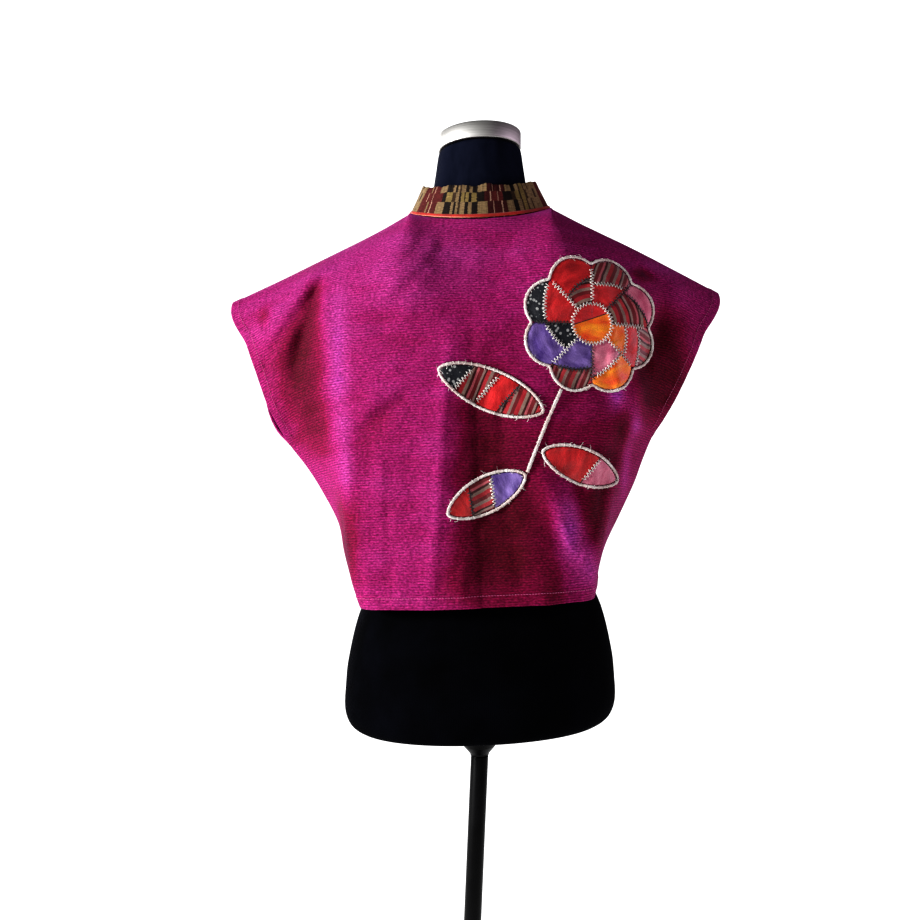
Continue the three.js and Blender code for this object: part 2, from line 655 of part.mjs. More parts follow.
// ---------------------------------------------------------------- dress form
const formRows = [
  { z: 615, half: 146, back: -103, front: 96, square: 2.2 },
  { z: 618, half: 156, back: -111, front: 103, square: 2.2 },
  { z: 626, half: 164.5, back: -118, front: 109, square: 2.2 },
  { z: 642, half: 169.5, back: -121, front: 112, square: 2.2 },
  { z: 670, half: 168.5, back: -122, front: 112, square: 2.2 },
  { z: 700, half: 165.5, back: -121, front: 110, square: 2.2 },
  { z: 754, half: 153, back: -114, front: 105, square: 2.2 },
  { z: 800, half: 133.5, back: -98, front: 98, square: 2.2 },
  { z: 854, half: 117, back: -80, front: 92, square: 2.2 },
  { z: 910, half: 122, back: -86, front: 100, square: 2.2 },
  { z: 964, half: 133, back: -98, front: 118, square: 2.2 },
  { z: 1014, half: 142, back: -106, front: 131, square: 2.2 },
  { z: 1060, half: 148, back: -110, front: 124, square: 2.3 },
  { z: 1110, half: 158, back: -109, front: 108, square: 2.4 },
  { z: 1155, half: 170, back: -98, front: 88, square: 2.4 },
  { z: 1182, half: 176, back: -87, front: 75, square: 2.3 },
  { z: 1196, half: 173, back: -79, front: 68, square: 2.2 },
  { z: 1207, half: 163, back: -72, front: 62, square: 2.1 },
  { z: 1222.9, half: 138.5, back: -66, front: 58, square: 2 },
  { z: 1237, half: 104, back: -61, front: 56, square: 2 },
  { z: 1248.5, half: 79, back: -58, front: 55, square: 2 },
  { z: 1258, half: 65, back: -57, front: 55, square: 2 },
  { z: 1284, half: 59.5, back: -56, front: 55, square: 2 },
  { z: 1312, half: 55, back: -54, front: 54, square: 2 },
  { z: 1329, half: 52.5, back: -52, front: 52, square: 2 },
  { z: 1333, half: 50.5, back: -50, front: 50, square: 2 },
  { z: 1335, half: 46, back: -46, front: 46, square: 2 },
];
const FORM_AROUND = 36;

function formGeometry() {
  const positions = [];
  const index = [];
  for (const row of formRows) {
    for (let k = 0; k < FORM_AROUND; k += 1) {
      const angle = 2 * Math.PI * k / FORM_AROUND;
      const c = Math.cos(angle);
      const s = Math.sin(angle);
      const power = 2 / row.square;
      const x = row.half * Math.sign(c) * Math.abs(c) ** power;
      const depth = s < 0 ? -row.back : row.front;
      const y = depth * Math.sign(s) * Math.abs(s) ** power;
      positions.push(x, y, row.z + SLANT * x);
    }
  }
  const rows = formRows.length;
  for (let i = 0; i < rows - 1; i += 1) {
    for (let k = 0; k < FORM_AROUND; k += 1) {
      const next = (k + 1) % FORM_AROUND;
      const a = i * FORM_AROUND + k;
      const b = i * FORM_AROUND + next;
      const c = (i + 1) * FORM_AROUND + next;
      const d = (i + 1) * FORM_AROUND + k;
      index.push(a, b, c, a, c, d);
    }
  }
  const bottom = positions.length / 3;
  positions.push(0, 0, formRows[0].z);
  positions.push(0, 0, formRows[rows - 1].z);
  for (let k = 0; k < FORM_AROUND; k += 1) {
    const next = (k + 1) % FORM_AROUND;
    index.push(bottom, next, k);
    index.push(bottom + 1, (rows - 1) * FORM_AROUND + k, (rows - 1) * FORM_AROUND + next);
  }
  const geometry = new THREE.BufferGeometry();
  geometry.setAttribute('position', new THREE.Float32BufferAttribute(positions, 3));
  geometry.setIndex(index);
  return geometry;
}
addMesh(group, 'form_body', formGeometry(),
  new THREE.MeshStandardMaterial({ color: 0x0b0b10, roughness: 0.8, metalness: 0 }));

// brushed-steel cap that closes the neck
const capEdge = 1.5;
const capProfile = [
  [0, 0], [CAP_RADIUS - 0.5, 0], [CAP_RADIUS, 0.5], [CAP_RADIUS, CAP_HEIGHT - capEdge],
  [CAP_RADIUS - capEdge, CAP_HEIGHT], [0, CAP_HEIGHT],
].map(([r, h]) => new THREE.Vector2(r, h));
const steel = new THREE.MeshStandardMaterial({ color: 0xb8b6b0, roughness: 0.35, metalness: 1 });
const cap = new THREE.LatheGeometry(capProfile, 40);
cap.rotateX(Math.PI / 2);
cap.applyMatrix4(new THREE.Matrix4().makeShear(0, SLANT, 0, 0, 0, 0));
cap.translate(0, 0, FORM_TOP_Z + SEAM_GAP);
addMesh(group, 'neck_cap', cap, steel);

// ---------------------------------------------------------------- stand
const black = new THREE.MeshStandardMaterial({ color: 0x0d0d0f, roughness: 0.45, metalness: 0.4 });
const lean = THREE.MathUtils.degToRad(POLE_LEAN);
const flangeBottomZ = FORM_BOTTOM_Z - FLANGE_HEIGHT;
const baseX = -Math.tan(lean) * flangeBottomZ;

function leaning(geometry, startZ) {
  geometry.rotateX(Math.PI / 2);
  geometry.translate(0, 0, startZ / Math.cos(lean));
  geometry.rotateY(lean);
  geometry.translate(baseX, 0, 0);
  return geometry;
}

const profile = (pairs) => pairs.map(([r, h]) => new THREE.Vector2(r, h));
const base = new THREE.LatheGeometry(profile([
  [0, 0], [BASE_RADIUS - 2, 0], [BASE_RADIUS, 2], [BASE_RADIUS, BASE_THICK - CHAMFER],
  [BASE_RADIUS - CHAMFER, BASE_THICK], [SOCKET_RADIUS + 8, BASE_THICK + BASE_CROWN],
  [0, BASE_THICK + BASE_CROWN],
]), 48);
base.rotateX(Math.PI / 2);
base.translate(baseX, 0, 0);
addMesh(group, 'base_plate', base, black);

addMesh(group, 'pole_socket', leaning(new THREE.LatheGeometry(profile([
  [POLE_RADIUS + SEAM_GAP, SOCKET_FLOOR], [SOCKET_RADIUS, SOCKET_FLOOR],
  [SOCKET_RADIUS, SOCKET_HEIGHT - CHAMFER], [SOCKET_RADIUS - CHAMFER, SOCKET_HEIGHT],
  [POLE_RADIUS + SEAM_GAP, SOCKET_HEIGHT], [POLE_RADIUS + SEAM_GAP, SOCKET_FLOOR],
]), 32), 0), black);

const poleTop = flangeBottomZ - 4 * SEAM_GAP;
addMesh(group, 'pole', leaning(new THREE.LatheGeometry(profile([
  [0, SOCKET_FLOOR], [POLE_RADIUS, SOCKET_FLOOR], [POLE_RADIUS, poleTop], [0, poleTop],
]), 32), 0), black);

// cone flange that carries the padded body on the pole
const flange = new THREE.LatheGeometry(profile([
  [0, 0], [POLE_RADIUS + 1, 0], [POLE_RADIUS + 1, 2], [20.5, 12], [30, FLANGE_HEIGHT - 8],
  [34, FLANGE_HEIGHT - SEAM_GAP], [0, FLANGE_HEIGHT - SEAM_GAP],
]), 32);
flange.rotateX(Math.PI / 2);
flange.applyMatrix4(new THREE.Matrix4().makeShear(0, SLANT, 0, 0, 0, 0));
flange.translate(0, 0, flangeBottomZ);
addMesh(group, 'pole_flange', flange, black);

export default group;
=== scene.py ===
import math
import random

import bmesh
import bpy
import numpy as np
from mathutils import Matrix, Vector, kdtree


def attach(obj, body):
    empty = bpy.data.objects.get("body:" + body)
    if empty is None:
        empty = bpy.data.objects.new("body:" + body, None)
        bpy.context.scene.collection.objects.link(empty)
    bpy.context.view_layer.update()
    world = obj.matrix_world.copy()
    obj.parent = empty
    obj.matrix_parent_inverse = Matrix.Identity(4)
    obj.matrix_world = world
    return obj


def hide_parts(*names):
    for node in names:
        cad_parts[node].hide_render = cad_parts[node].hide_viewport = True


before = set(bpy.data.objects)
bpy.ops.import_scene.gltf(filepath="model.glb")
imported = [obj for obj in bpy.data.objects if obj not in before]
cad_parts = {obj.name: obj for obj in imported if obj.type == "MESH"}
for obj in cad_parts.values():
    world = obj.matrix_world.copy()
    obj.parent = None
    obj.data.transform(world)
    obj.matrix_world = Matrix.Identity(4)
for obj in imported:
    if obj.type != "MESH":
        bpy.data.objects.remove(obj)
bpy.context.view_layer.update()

scene = bpy.context.scene

# ------------------------------------------------------------------ camera
# A level camera behind the dress form, a little to the left of it and at
# the height of the shoulder blades.
camera_data = bpy.data.cameras.new("camera")
camera_data.sensor_width = 36
camera_data.lens = 34.43
camera = bpy.data.objects.new("camera", camera_data)
camera.location = (-0.025, -1.116, 0.944)
camera.rotation_euler = (math.radians(90), 0, 0)
scene.collection.objects.link(camera)
scene.camera = camera

# ------------------------------------------------------------------ back panel
# One width of handwoven cotton, warp one colour and weft another, cut with
# its sleeves in one piece. Its side and sleeve edges are turned and
# topstitched, and it hangs from the shoulder seams. All sizes in millimetres.
MM = 0.001
CLOTH = 1.6
HEM_CLOTH = 2.8
PRESSED_HEM = 2.15
SLEEVE_HEM = 13
BOTTOM_HEM = 15
SEAM_GAP = 0.3
SLANT = 0.04
RIB_PITCH = 3
HEM_STEP = 1.5
# fold height at which the painted shade of troughs and the painted highlight of ridges are full, how far they
# move the tone, and the tone of plain cloth
FOLD_FULL_PAINTED_LIGHT = 7
FOLD_PAINTED_LIGHT = 0.16
MIDDLE_TONE = 0.5
CENTRE_STEP = 0.8
RIPPLE = 0.22
# width and height of each layer of faint unevenness
CRUMPLES = ((90, 0.9), (52, 0.5), (30, 0.26), (17, 0.13))

NECK_SIDE_X = 87
NECK_BACK_Y = -75
NECK_FRONT_Y = 76
NECK_SIDE_Z = 1254.5
NECK_BACK_Z = 1228.5
NECK_FRONT_Z = 1206
HEM_Z = 777.5
TIP_LEFT_X = 310
TIP_RIGHT_X = 299
TIP_RIGHT_DROP = 17
UNDERARM = 0.48
ABOVE_UNDERARM = UNDERARM - 0.01
NECK_SHARE = 0.34
RIDGE_SHARE = 0.6
ROLL_SHOULDER = 0.24
ROLL_NECK = 0.36

SHOULDER_X = (87, 120, 150, 180, 210, 240, 275, 313)
SHOULDER_Z = (1254, 1236.5, 1222.5, 1209.5, 1196.5, 1183.5, 1169, 1153.5)

# sleeve edge and side seam against the share of the drop
SIDE_DROP = (0, 0.06, 0.12, 0.24, 0.36, 0.43, 0.48, 0.56, 0.64, 0.75, 0.85, 0.93, 1)
SIDE = {
    "left": (310, 299, 290, 273, 258, 246, 237, 215, 197, 177, 170, 162, 150),
    "right": (299, 286, 277, 258, 238, 225, 215, 203, 193, 175, 158, 150, 147),
    "back": (-34, -38, -42, -46, -40, -28, -16, -12, -8, -4, -2, 0, 0),
    "front": (34, 37, 40, 40, 24, 2, -16, -12, -8, -4, -2, 0, 0),
    "front_out": (0, 2, 5, 12, 15, 11, 0, 0, 0, 0, 0, 0, 0),
}

# middle of the cloth against the share of the drop
BODY_DROP = (0, 0.24, 0.48, 0.75, 0.93, 1)
BODY = {
    "back_y": (-112, -119, -122, -126, -129, -130),
    "ridge_left": (168, 172, 166, 155, 146, 138),
    "ridge_right": (166, 170, 160, 144, 131, 127),
    "ridge_y": (-86, -96, -103, -105, -105, -104),
    "chest_x": (168, 172, 168, 156, 146, 142),
    "chest_y": (84, 96, 112, 112, 109, 108),
    "front_y": (112, 133, 144, 146, 143, 142),
    "open_x": (13, 16, 22, 32, 39, 42),
}

# soft troughs and ridges of the back: from (x, z) to (x, z), half width, height outward
BACK_FOLDS = [
    (-164, 985, -150, 790, 15, 5),
    (-188, 1180, -262, 1116, 14, 6),
    (-196, 1158, -222, 1060, 15, -7),
    (-38, 1062, -52, 790, 22, 4),
    (6, 1040, 14, 790, 30, -8),
    (66, 922, 126, 826, 16, 7),
    (106, 922, 118, 840, 11, -5),
    (150, 952, 128, 850, 11, -5),
    (186, 1024, 176, 960, 14, 6),
    (214, 1108, 186, 1040, 16, -8),
]
BACK_CREASES = [
    (-83, 1038, -144, 998, 11, 2.6),
    (-80, 1024, -138, 984, 9, -2.6),
    (-96, 1060, -127, 1018, 7, 1.3),
    (-109, 905, -106, 846, 5, -1.3),
    (-118, 962, -110, 872, 8, 1.2),
    (-187, 1172, -202, 1144, 6, -2.6),
    (-206, 1128, -232, 1090, 7, 1.8),
    (-236, 1110, -262, 1068, 6, -1.4),
    (-158, 832, -145, 790, 6, 2.4),
    (-172, 900, -160, 846, 5, -1.6),
    (-88, 842, -96, 790, 7, 1.2),
    (-66, 1180, -118, 1128, 8, 1.3),
    (-44, 1196, -84, 1142, 6, -0.9),
    (-118, 1196, -176, 1168, 9, -1.1),
    (12, 1030, 16, 862, 7, 1.4),
    (30, 880, 44, 802, 8, -1.3),
    (82, 884, 104, 838, 5, 1.6),
    (140, 884, 131, 838, 5, 1.5),
    (104, 1010, 160, 986, 8, 1.2),
    (172, 1000, 152, 930, 7, -1.8),
    (196, 1090, 208, 1038, 6, 1.6),
    (176, 1186, 208, 1152, 7, -4.2),
    (170, 1194, 216, 1160, 6, 1.8),
    (214, 1164, 250, 1138, 7, 1.6),
    (40, 1188, 60, 1150, 6, 0.8),
    (-20, 836, -24, 786, 5, 1.0),
    (-39, 1064, -58, 782, 6, 1.7),
    (-11, 1069, 0, 784, 5, -1.3),
    (152, 1032, 173, 962, 8, 2.2),
    (-52, 1218, -62, 1188, 4, 0.8),
    (-40, 1218, -47, 1190, 4, -0.7),
    (-28, 1218, -31, 1196, 4, 0.6),
    (-66, 1216, -80, 1186, 5, -0.8),
    (-14, 1218, -14, 1198, 4, -0.5),
    (26, 1218, 30, 1194, 5, 0.6),
    (-152, 812, -168, 786, 6, 1.6),
    (-204, 1110, -232, 1000, 15, -3.2),
    (-274, 1132, -254, 1108, 5, -1.8),
    (-206, 1160, -256, 1092, 7, 1.8),
    (-184, 1156, -176, 1080, 7, 1.6),
    (222, 1150, 204, 1016, 14, -2.6),
    (148, 1064, 162, 1006, 7, 2.6),
    (160, 1012, 196, 972, 6, 2.4),
    (134, 940, 142, 846, 6, -1.8),
    (120, 836, 132, 790, 6, 1.6),
]


def mix(start, end, share):
    return start + (end - start) * share


def ease(low, high, value):
    share = np.clip((value - low) / (high - low), 0, 1)
    return share * share * (3 - 2 * share)


def curve_through(keys, values, at):
    """Smooth curve through a short table, read at many places."""
    keys = np.array(keys, float)
    values = np.array(values, float)
    slopes = np.empty(len(keys))
    slopes[1:-1] = (values[2:] - values[:-2]) / (keys[2:] - keys[:-2])
    slopes[0] = (values[1] - values[0]) / (keys[1] - keys[0])
    slopes[-1] = (values[-1] - values[-2]) / (keys[-1] - keys[-2])
    i = np.clip(np.searchsorted(keys, at) - 1, 0, len(keys) - 2)
    span = keys[i + 1] - keys[i]
    t = np.clip((at - keys[i]) / span, 0, 1)
    rising = 3 * t ** 2 - 2 * t ** 3
    from_start = t ** 3 - 2 * t ** 2 + t
    from_end = t ** 3 - t ** 2
    return (values[i] * (1 - rising) + values[i + 1] * rising
            + span * (slopes[i] * from_start + slopes[i + 1] * from_end))


def shoulder_height(x, side):
    droop = np.where(side > 0, TIP_RIGHT_DROP, 0)
    to_tip = np.clip((x - NECK_SIDE_X) / (TIP_RIGHT_X - NECK_SIDE_X), 0, 1)
    return curve_through(SHOULDER_X, SHOULDER_Z, np.clip(x, NECK_SIDE_X, TIP_LEFT_X)) - droop * to_tip ** 2


def top_edge(s, side, front):
    """Neckline and shoulder seam, s from the centre (0) to the sleeve end (1)."""
    open_x = BODY["open_x"][0] if front else 0
    depth = NECK_FRONT_Y if front else NECK_BACK_Y
    low = NECK_FRONT_Z if front else NECK_BACK_Z
    scoop = 1.6 if front else 1.3
    turn = np.clip(s / NECK_SHARE, 0, 1) * math.pi / 2
    arc = np.clip(np.cos(turn), 0, 1)
    on_neck = s < NECK_SHARE
    tip = np.where(side > 0, TIP_RIGHT_X, TIP_LEFT_X)
    reach = mix(NECK_SIDE_X, tip, (s - NECK_SHARE) / (1 - NECK_SHARE))
    x = np.where(on_neck, mix(open_x, NECK_SIDE_X, np.sin(turn)), reach)
    y = np.where(on_neck, depth * arc, 0)
    neck_z = NECK_SIDE_Z + (low - NECK_SIDE_Z) * arc ** scoop
    z = np.where(on_neck, neck_z, shoulder_height(reach, side))
    return side * x, y, z


def body_at(name, v):
    return curve_through(BODY_DROP, BODY[name], v)


def side_at(name, v):
    return curve_through(SIDE_DROP, SIDE[name], v)


def body_row(s, v, side, front):
    """One row of the cloth over the body, before its corner is rounded."""
    left = side < 0
    start_x = body_at("open_x", v) if front else 0 * v
    start_y = body_at("front_y" if front else "back_y", v)
    if front:
        turn_x = body_at("chest_x", v)
        turn_y = body_at("chest_y", v)
    else:
        turn_x = np.where(left, body_at("ridge_left", v), body_at("ridge_right", v))
        turn_y = body_at("ridge_y", v)
    out_x = np.where(left, side_at("left", v), side_at("right", v))
    out_y = side_at("back", v)
    if front:
        out_x = out_x + np.where(left, side_at("front_out", v), 0)
        out_y = np.where(v < UNDERARM, side_at("front", v), out_y)
    q = s / RIDGE_SHARE
    r = (s - RIDGE_SHARE) / (1 - RIDGE_SHARE)
    near = s < RIDGE_SHARE
    x = np.where(near, mix(start_x, turn_x, q), mix(turn_x, out_x, r))
    y = np.where(near, mix(start_y, turn_y, q * q), mix(turn_y, out_y, r))
    return side * x, y


def soft_row(s, v, side, front):
    """The same row with its corner rounded, as the mean of places near each other."""
    taps = 6
    reach = np.minimum(mix(0.16, 0.09, np.clip(v, 0, 1)), 1 - s)
    if front:
        reach = np.minimum(reach, s)
    x = 0
    y = 0
    for k in range(taps):
        shifted = s + reach * (2 * (k + 0.5) / taps - 1)
        row_x, row_y = body_row(np.abs(shifted), v, np.where(shifted < 0, -side, side), front)
        x = x + row_x / taps
        y = y + row_y / taps
    return x, y


def folds_at(x, z, folds):
    """Height of all the folds and creases of a list at the given places."""
    height = 0 * x
    for x1, z1, x2, z2, reach, rise in folds:
        length = math.hypot(x2 - x1, z2 - z1)
        along = ((x - x1) * (x2 - x1) + (z - z1) * (z2 - z1)) / length ** 2
        across = np.abs((x - x1) * (z2 - z1) - (z - z1) * (x2 - x1)) / length
        fade = ease(-0.25, 0.2, along) * (1 - ease(0.8, 1.25, along))
        height = height + rise * fade * np.exp(-(across / reach) ** 2)
    return height


def crumple(x, z, seed):
    """Faint unevenness of cloth that was pressed and then worn."""
    rng = np.random.default_rng(seed)
    height = 0 * x
    for size, rise in CRUMPLES:
        for _ in range(4):
            angle = rng.uniform(0, math.pi)
            stretch = rng.uniform(0.8, 1.3)
            phase = rng.uniform(0, 2 * math.pi)
            across = x * math.cos(angle) + z * math.sin(angle)
            bend = np.sin((x * math.sin(angle) - z * math.cos(angle)) / size * 2.1 + phase)
            height = height + rise / 2 * np.sin(2 * math.pi * across / (size * stretch) + phase + bend)
    return height


def cloth_surface(u, v, side, front, folds, creases, seed):
    """Inner face of a panel with its folds. Returns points and the height of the folds."""
    s = np.abs(u)
    top_x, top_y, top_z = top_edge(s, side, front)
    row_x, row_y = soft_row(s, v, side, front)
    spread = ease(0, 0.16, v)
    neck_roll = np.sin(np.clip(v / ROLL_NECK, 0, 1) * math.pi / 2)
    shoulder_roll = np.sqrt(1 - (1 - np.clip(v / ROLL_SHOULDER, 0, 1)) ** 2)
    roll = mix(neck_roll, shoulder_roll, ease(0.12, 0.5, s) if front else ease(0, 0.3, s))
    x = mix(top_x, row_x, spread)
    y = mix(top_y, row_y, roll)
    z = mix(top_z, HEM_Z, v)
    facing = 1 if front else -1
    in_panel = ease(0, 0.06, v) * (1 - ease(0.9, 1, s))
    place_x = np.abs(x) if front else x
    height = folds_at(place_x, z, folds) * in_panel
    fine_share = ease(0.02, 0.1, v) * (1 - ease(0.94, 0.995, s)) * (ease(0.005, 0.06, s) if front else 1)
    height = height + folds_at(x, z, creases) * fine_share + crumple(x, z, seed) * fine_share
    points = np.stack([x, y + facing * (height + SEAM_GAP / 2), z + SLANT * x], -1)
    return points, height


def unit(vectors):
    return vectors / np.maximum(np.linalg.norm(vectors, axis=-1, keepdims=True), 1e-9)


def lengths_along(points, axis):
    steps = np.linalg.norm(np.diff(points, axis=axis), axis=-1)
    zero = np.zeros_like(np.take(steps, [0], axis=axis))
    return np.concatenate([zero, np.cumsum(steps, axis=axis)], axis=axis)


def weave_panel(u, v, side, front, folds, creases, seed):
    """Both faces of a panel on a grid of u (columns) and v (rows), with its lengths along the cloth."""
    grid_u, grid_v = np.meshgrid(u, v)
    grid_side = np.full(grid_u.shape, side) if front else np.where(grid_u < 0, -1, 1)
    inner, height = cloth_surface(grid_u, grid_v, grid_side, front, folds, creases, seed)
    down = np.gradient(inner, axis=0)
    across = np.gradient(inner, axis=1)
    facing = 1 if front else -1
    normal = unit(np.cross(down, across))
    normal = normal * np.where(normal[len(v) // 2, len(u) // 2, 1] * facing < 0, -1, 1)
    s = np.abs(grid_u)
    seam = ((s > 0.999) & (grid_v >= ABOVE_UNDERARM)) | ((grid_v < 0.001) & (s >= NECK_SHARE))
    leaning = seam & (normal[..., 1] * facing < 0)
    normal[..., 1] = np.where(leaning, 0, normal[..., 1])
    normal = unit(normal)
    outward = unit(inner * (1, NECK_SIDE_X / 80, 0))
    lean = np.minimum((normal * outward).sum(-1, keepdims=True), 0)
    at_neck = ((grid_v < 0.001) & (s < NECK_SHARE))[..., None]
    normal = unit(np.where(at_neck, normal - outward * lean, normal))
    from_hem = lengths_along(inner[::-1], 0)[::-1]
    along_row = lengths_along(inner, 1)
    if front:
        from_centre = along_row
        from_tip = along_row[:, -1:] - along_row
    else:
        middle = len(u) // 2
        from_centre = along_row - along_row[:, middle:middle + 1]
        from_tip = np.minimum(along_row, along_row[:, -1:] - along_row)
    hem = 1 - ease(BOTTOM_HEM - HEM_STEP, BOTTOM_HEM + HEM_STEP, from_hem)
    sleeve = (1 - ease(SLEEVE_HEM - HEM_STEP, SLEEVE_HEM + HEM_STEP, from_tip)) * (grid_v < UNDERARM)
    turned = np.maximum(hem, sleeve)
    if front:
        turned = np.maximum(turned, 1 - ease(SLEEVE_HEM - CENTRE_STEP, SLEEVE_HEM + CENTRE_STEP, from_centre))
    thick = mix(CLOTH, PRESSED_HEM, turned)
    ripple = RIPPLE * np.sin(from_centre / 4.3 + 2 * np.sin(from_centre / 17)) * hem
    ripple = ripple + RIPPLE * np.sin(from_hem / 4.1 + 2 * np.sin(from_hem / 19)) * sleeve
    outer = inner + normal * (thick + np.abs(ripple) * ease(0, 3, from_hem))[..., None]
    return {"u": np.array(u), "v": np.array(v), "inner": inner, "outer": outer, "normal": normal,
            "height": height, "from_hem": from_hem, "from_centre": from_centre, "from_tip": from_tip}


def close_shell(name, inner, outer, flat_u, flat_v, ring=False):
    """Closed mesh from two grids of points in millimetres, with its flat lengths as UV in metres."""
    rows, cols = inner.shape[:2]
    points = np.concatenate([inner.reshape(-1, 3), outer.reshape(-1, 3)]) * MM
    lift = rows * cols
    index = np.arange(lift).reshape(rows, cols)
    if ring:
        index = np.concatenate([index, index[:, :1]], axis=1)
    a, b = index[:-1, :-1], index[1:, :-1]
    c, d = index[1:, 1:], index[:-1, 1:]
    outer_faces = np.stack([a, b, c, d], -1).reshape(-1, 4) + lift
    inner_faces = np.stack([a, d, c, b], -1).reshape(-1, 4)
    edges = [index[0], index[-1][::-1]]
    if not ring:
        edges += [index[::-1, 0], index[:, -1]]
    walls = []
    for edge in edges:
        p, q = edge[:-1], edge[1:]
        walls.append(np.stack([p, p + lift, q + lift, q], -1))
    faces = np.concatenate([outer_faces, inner_faces, *walls])
    mesh = bpy.data.meshes.new(name)
    mesh.from_pydata(points.tolist(), [], faces.tolist())
    flat = np.stack([flat_u.ravel(), flat_v.ravel()], -1) * MM
    flat = np.concatenate([flat, flat])
    set_flat(mesh, flat)
    turn_outward(mesh)
    mesh.shade_smooth()
    return mesh


def set_flat(mesh, flat):
    """Flat lengths of each point in metres, kept as the UV of its corners."""
    corners = np.empty(len(mesh.loops), np.int32)
    mesh.loops.foreach_get("vertex_index", corners)
    mesh.uv_layers.new(name="flat").data.foreach_set("uv", flat[corners].ravel())


def turn_outward(mesh, merge=0):
    """Turns all faces outward, after points closer than merge are made one."""
    work = bmesh.new()
    work.from_mesh(mesh)
    if merge:
        bmesh.ops.remove_doubles(work, verts=work.verts, dist=merge)
    bmesh.ops.recalc_face_normals(work, faces=work.faces)
    work.to_mesh(mesh)
    work.free()


def add_piece(name, mesh, material, stands_for=()):
    piece = bpy.data.objects.new(name, mesh)
    scene.collection.objects.link(piece)
    mesh.materials.append(material)
    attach(piece, "root")
    if stands_for:
        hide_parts(*stands_for)
    return piece


def node(tree, kind, inputs=(), **settings):
    """A shader node with its settings, and its inputs linked or set."""
    made = tree.nodes.new(kind)
    for name, value in settings.items():
        setattr(made, name, value)
    for key, value in dict(inputs).items():
        if isinstance(value, bpy.types.NodeSocket):
            tree.links.new(value, made.inputs[key])
        else:
            made.inputs[key].default_value = value
    return made


def ramp(tree, factor, stops, interpolation="LINEAR"):
    made = node(tree, "ShaderNodeValToRGB", {0: factor})
    made.color_ramp.interpolation = interpolation
    points = made.color_ramp.elements
    while len(points) < len(stops):
        points.new(1)
    for point, (place, colour) in zip(points, stops):
        point.position = place
        point.color = (*colour, 1)
    return made.outputs[0]


def arithmetic(tree, operation, first, second=0.0, third=0.0):
    return node(tree, "ShaderNodeMath", {0: first, 1: second, 2: third}, operation=operation).outputs[0]


def blend_colours(tree, share, first, second, kind="MIX"):
    made = node(tree, "ShaderNodeMix", {0: share, 6: first, 7: second}, data_type="RGBA", blend_type=kind)
    return made.outputs[2]


def threads(tree, across, along, scale=(1, 1), detail=2.0):
    """Noise stretched over the cloth's own flat lengths."""
    place = node(tree, "ShaderNodeCombineXYZ", {0: arithmetic(tree, "MULTIPLY", across, scale[0]),
                                                1: arithmetic(tree, "MULTIPLY", along, scale[1])})
    return node(tree, "ShaderNodeTexNoise", {"Vector": place.outputs[0], "Scale": 1.0, "Detail": detail,
                                             "Roughness": 0.55}).outputs["Fac"]


def even_noise(tree, place, scale, detail):
    """Even noise at a place, for finishes that don't follow a cloth's threads."""
    noise = node(tree, "ShaderNodeTexNoise", {"Vector": place, "Scale": scale, "Detail": detail})
    return noise.outputs["Fac"]


def shaded(tree, share, colour, factor, stops):
    """The colour darkened and lightened by a ramp."""
    return blend_colours(tree, share, colour, ramp(tree, factor, stops), "MULTIPLY")


def start_material(name):
    material = bpy.data.materials.new(name)
    material.use_nodes = True
    tree = material.node_tree
    return material, tree, tree.nodes["Principled BSDF"]


def finish_surface(tree, shader, colour, relief, strength, depth, values):
    """Links a colour and a relief to the surface, and sets its other values."""
    bump = node(tree, "ShaderNodeBump", {"Strength": strength, "Distance": depth, "Height": relief})
    tree.links.new(colour, shader.inputs["Base Color"])
    tree.links.new(bump.outputs[0], shader.inputs["Normal"])
    for name, value in values.items():
        shader.inputs[name].default_value = value


def flat_lengths(tree):
    uv = node(tree, "ShaderNodeUVMap", uv_map="flat")
    split = node(tree, "ShaderNodeSeparateXYZ", {0: uv.outputs[0]})
    return split.outputs[0], split.outputs[1]


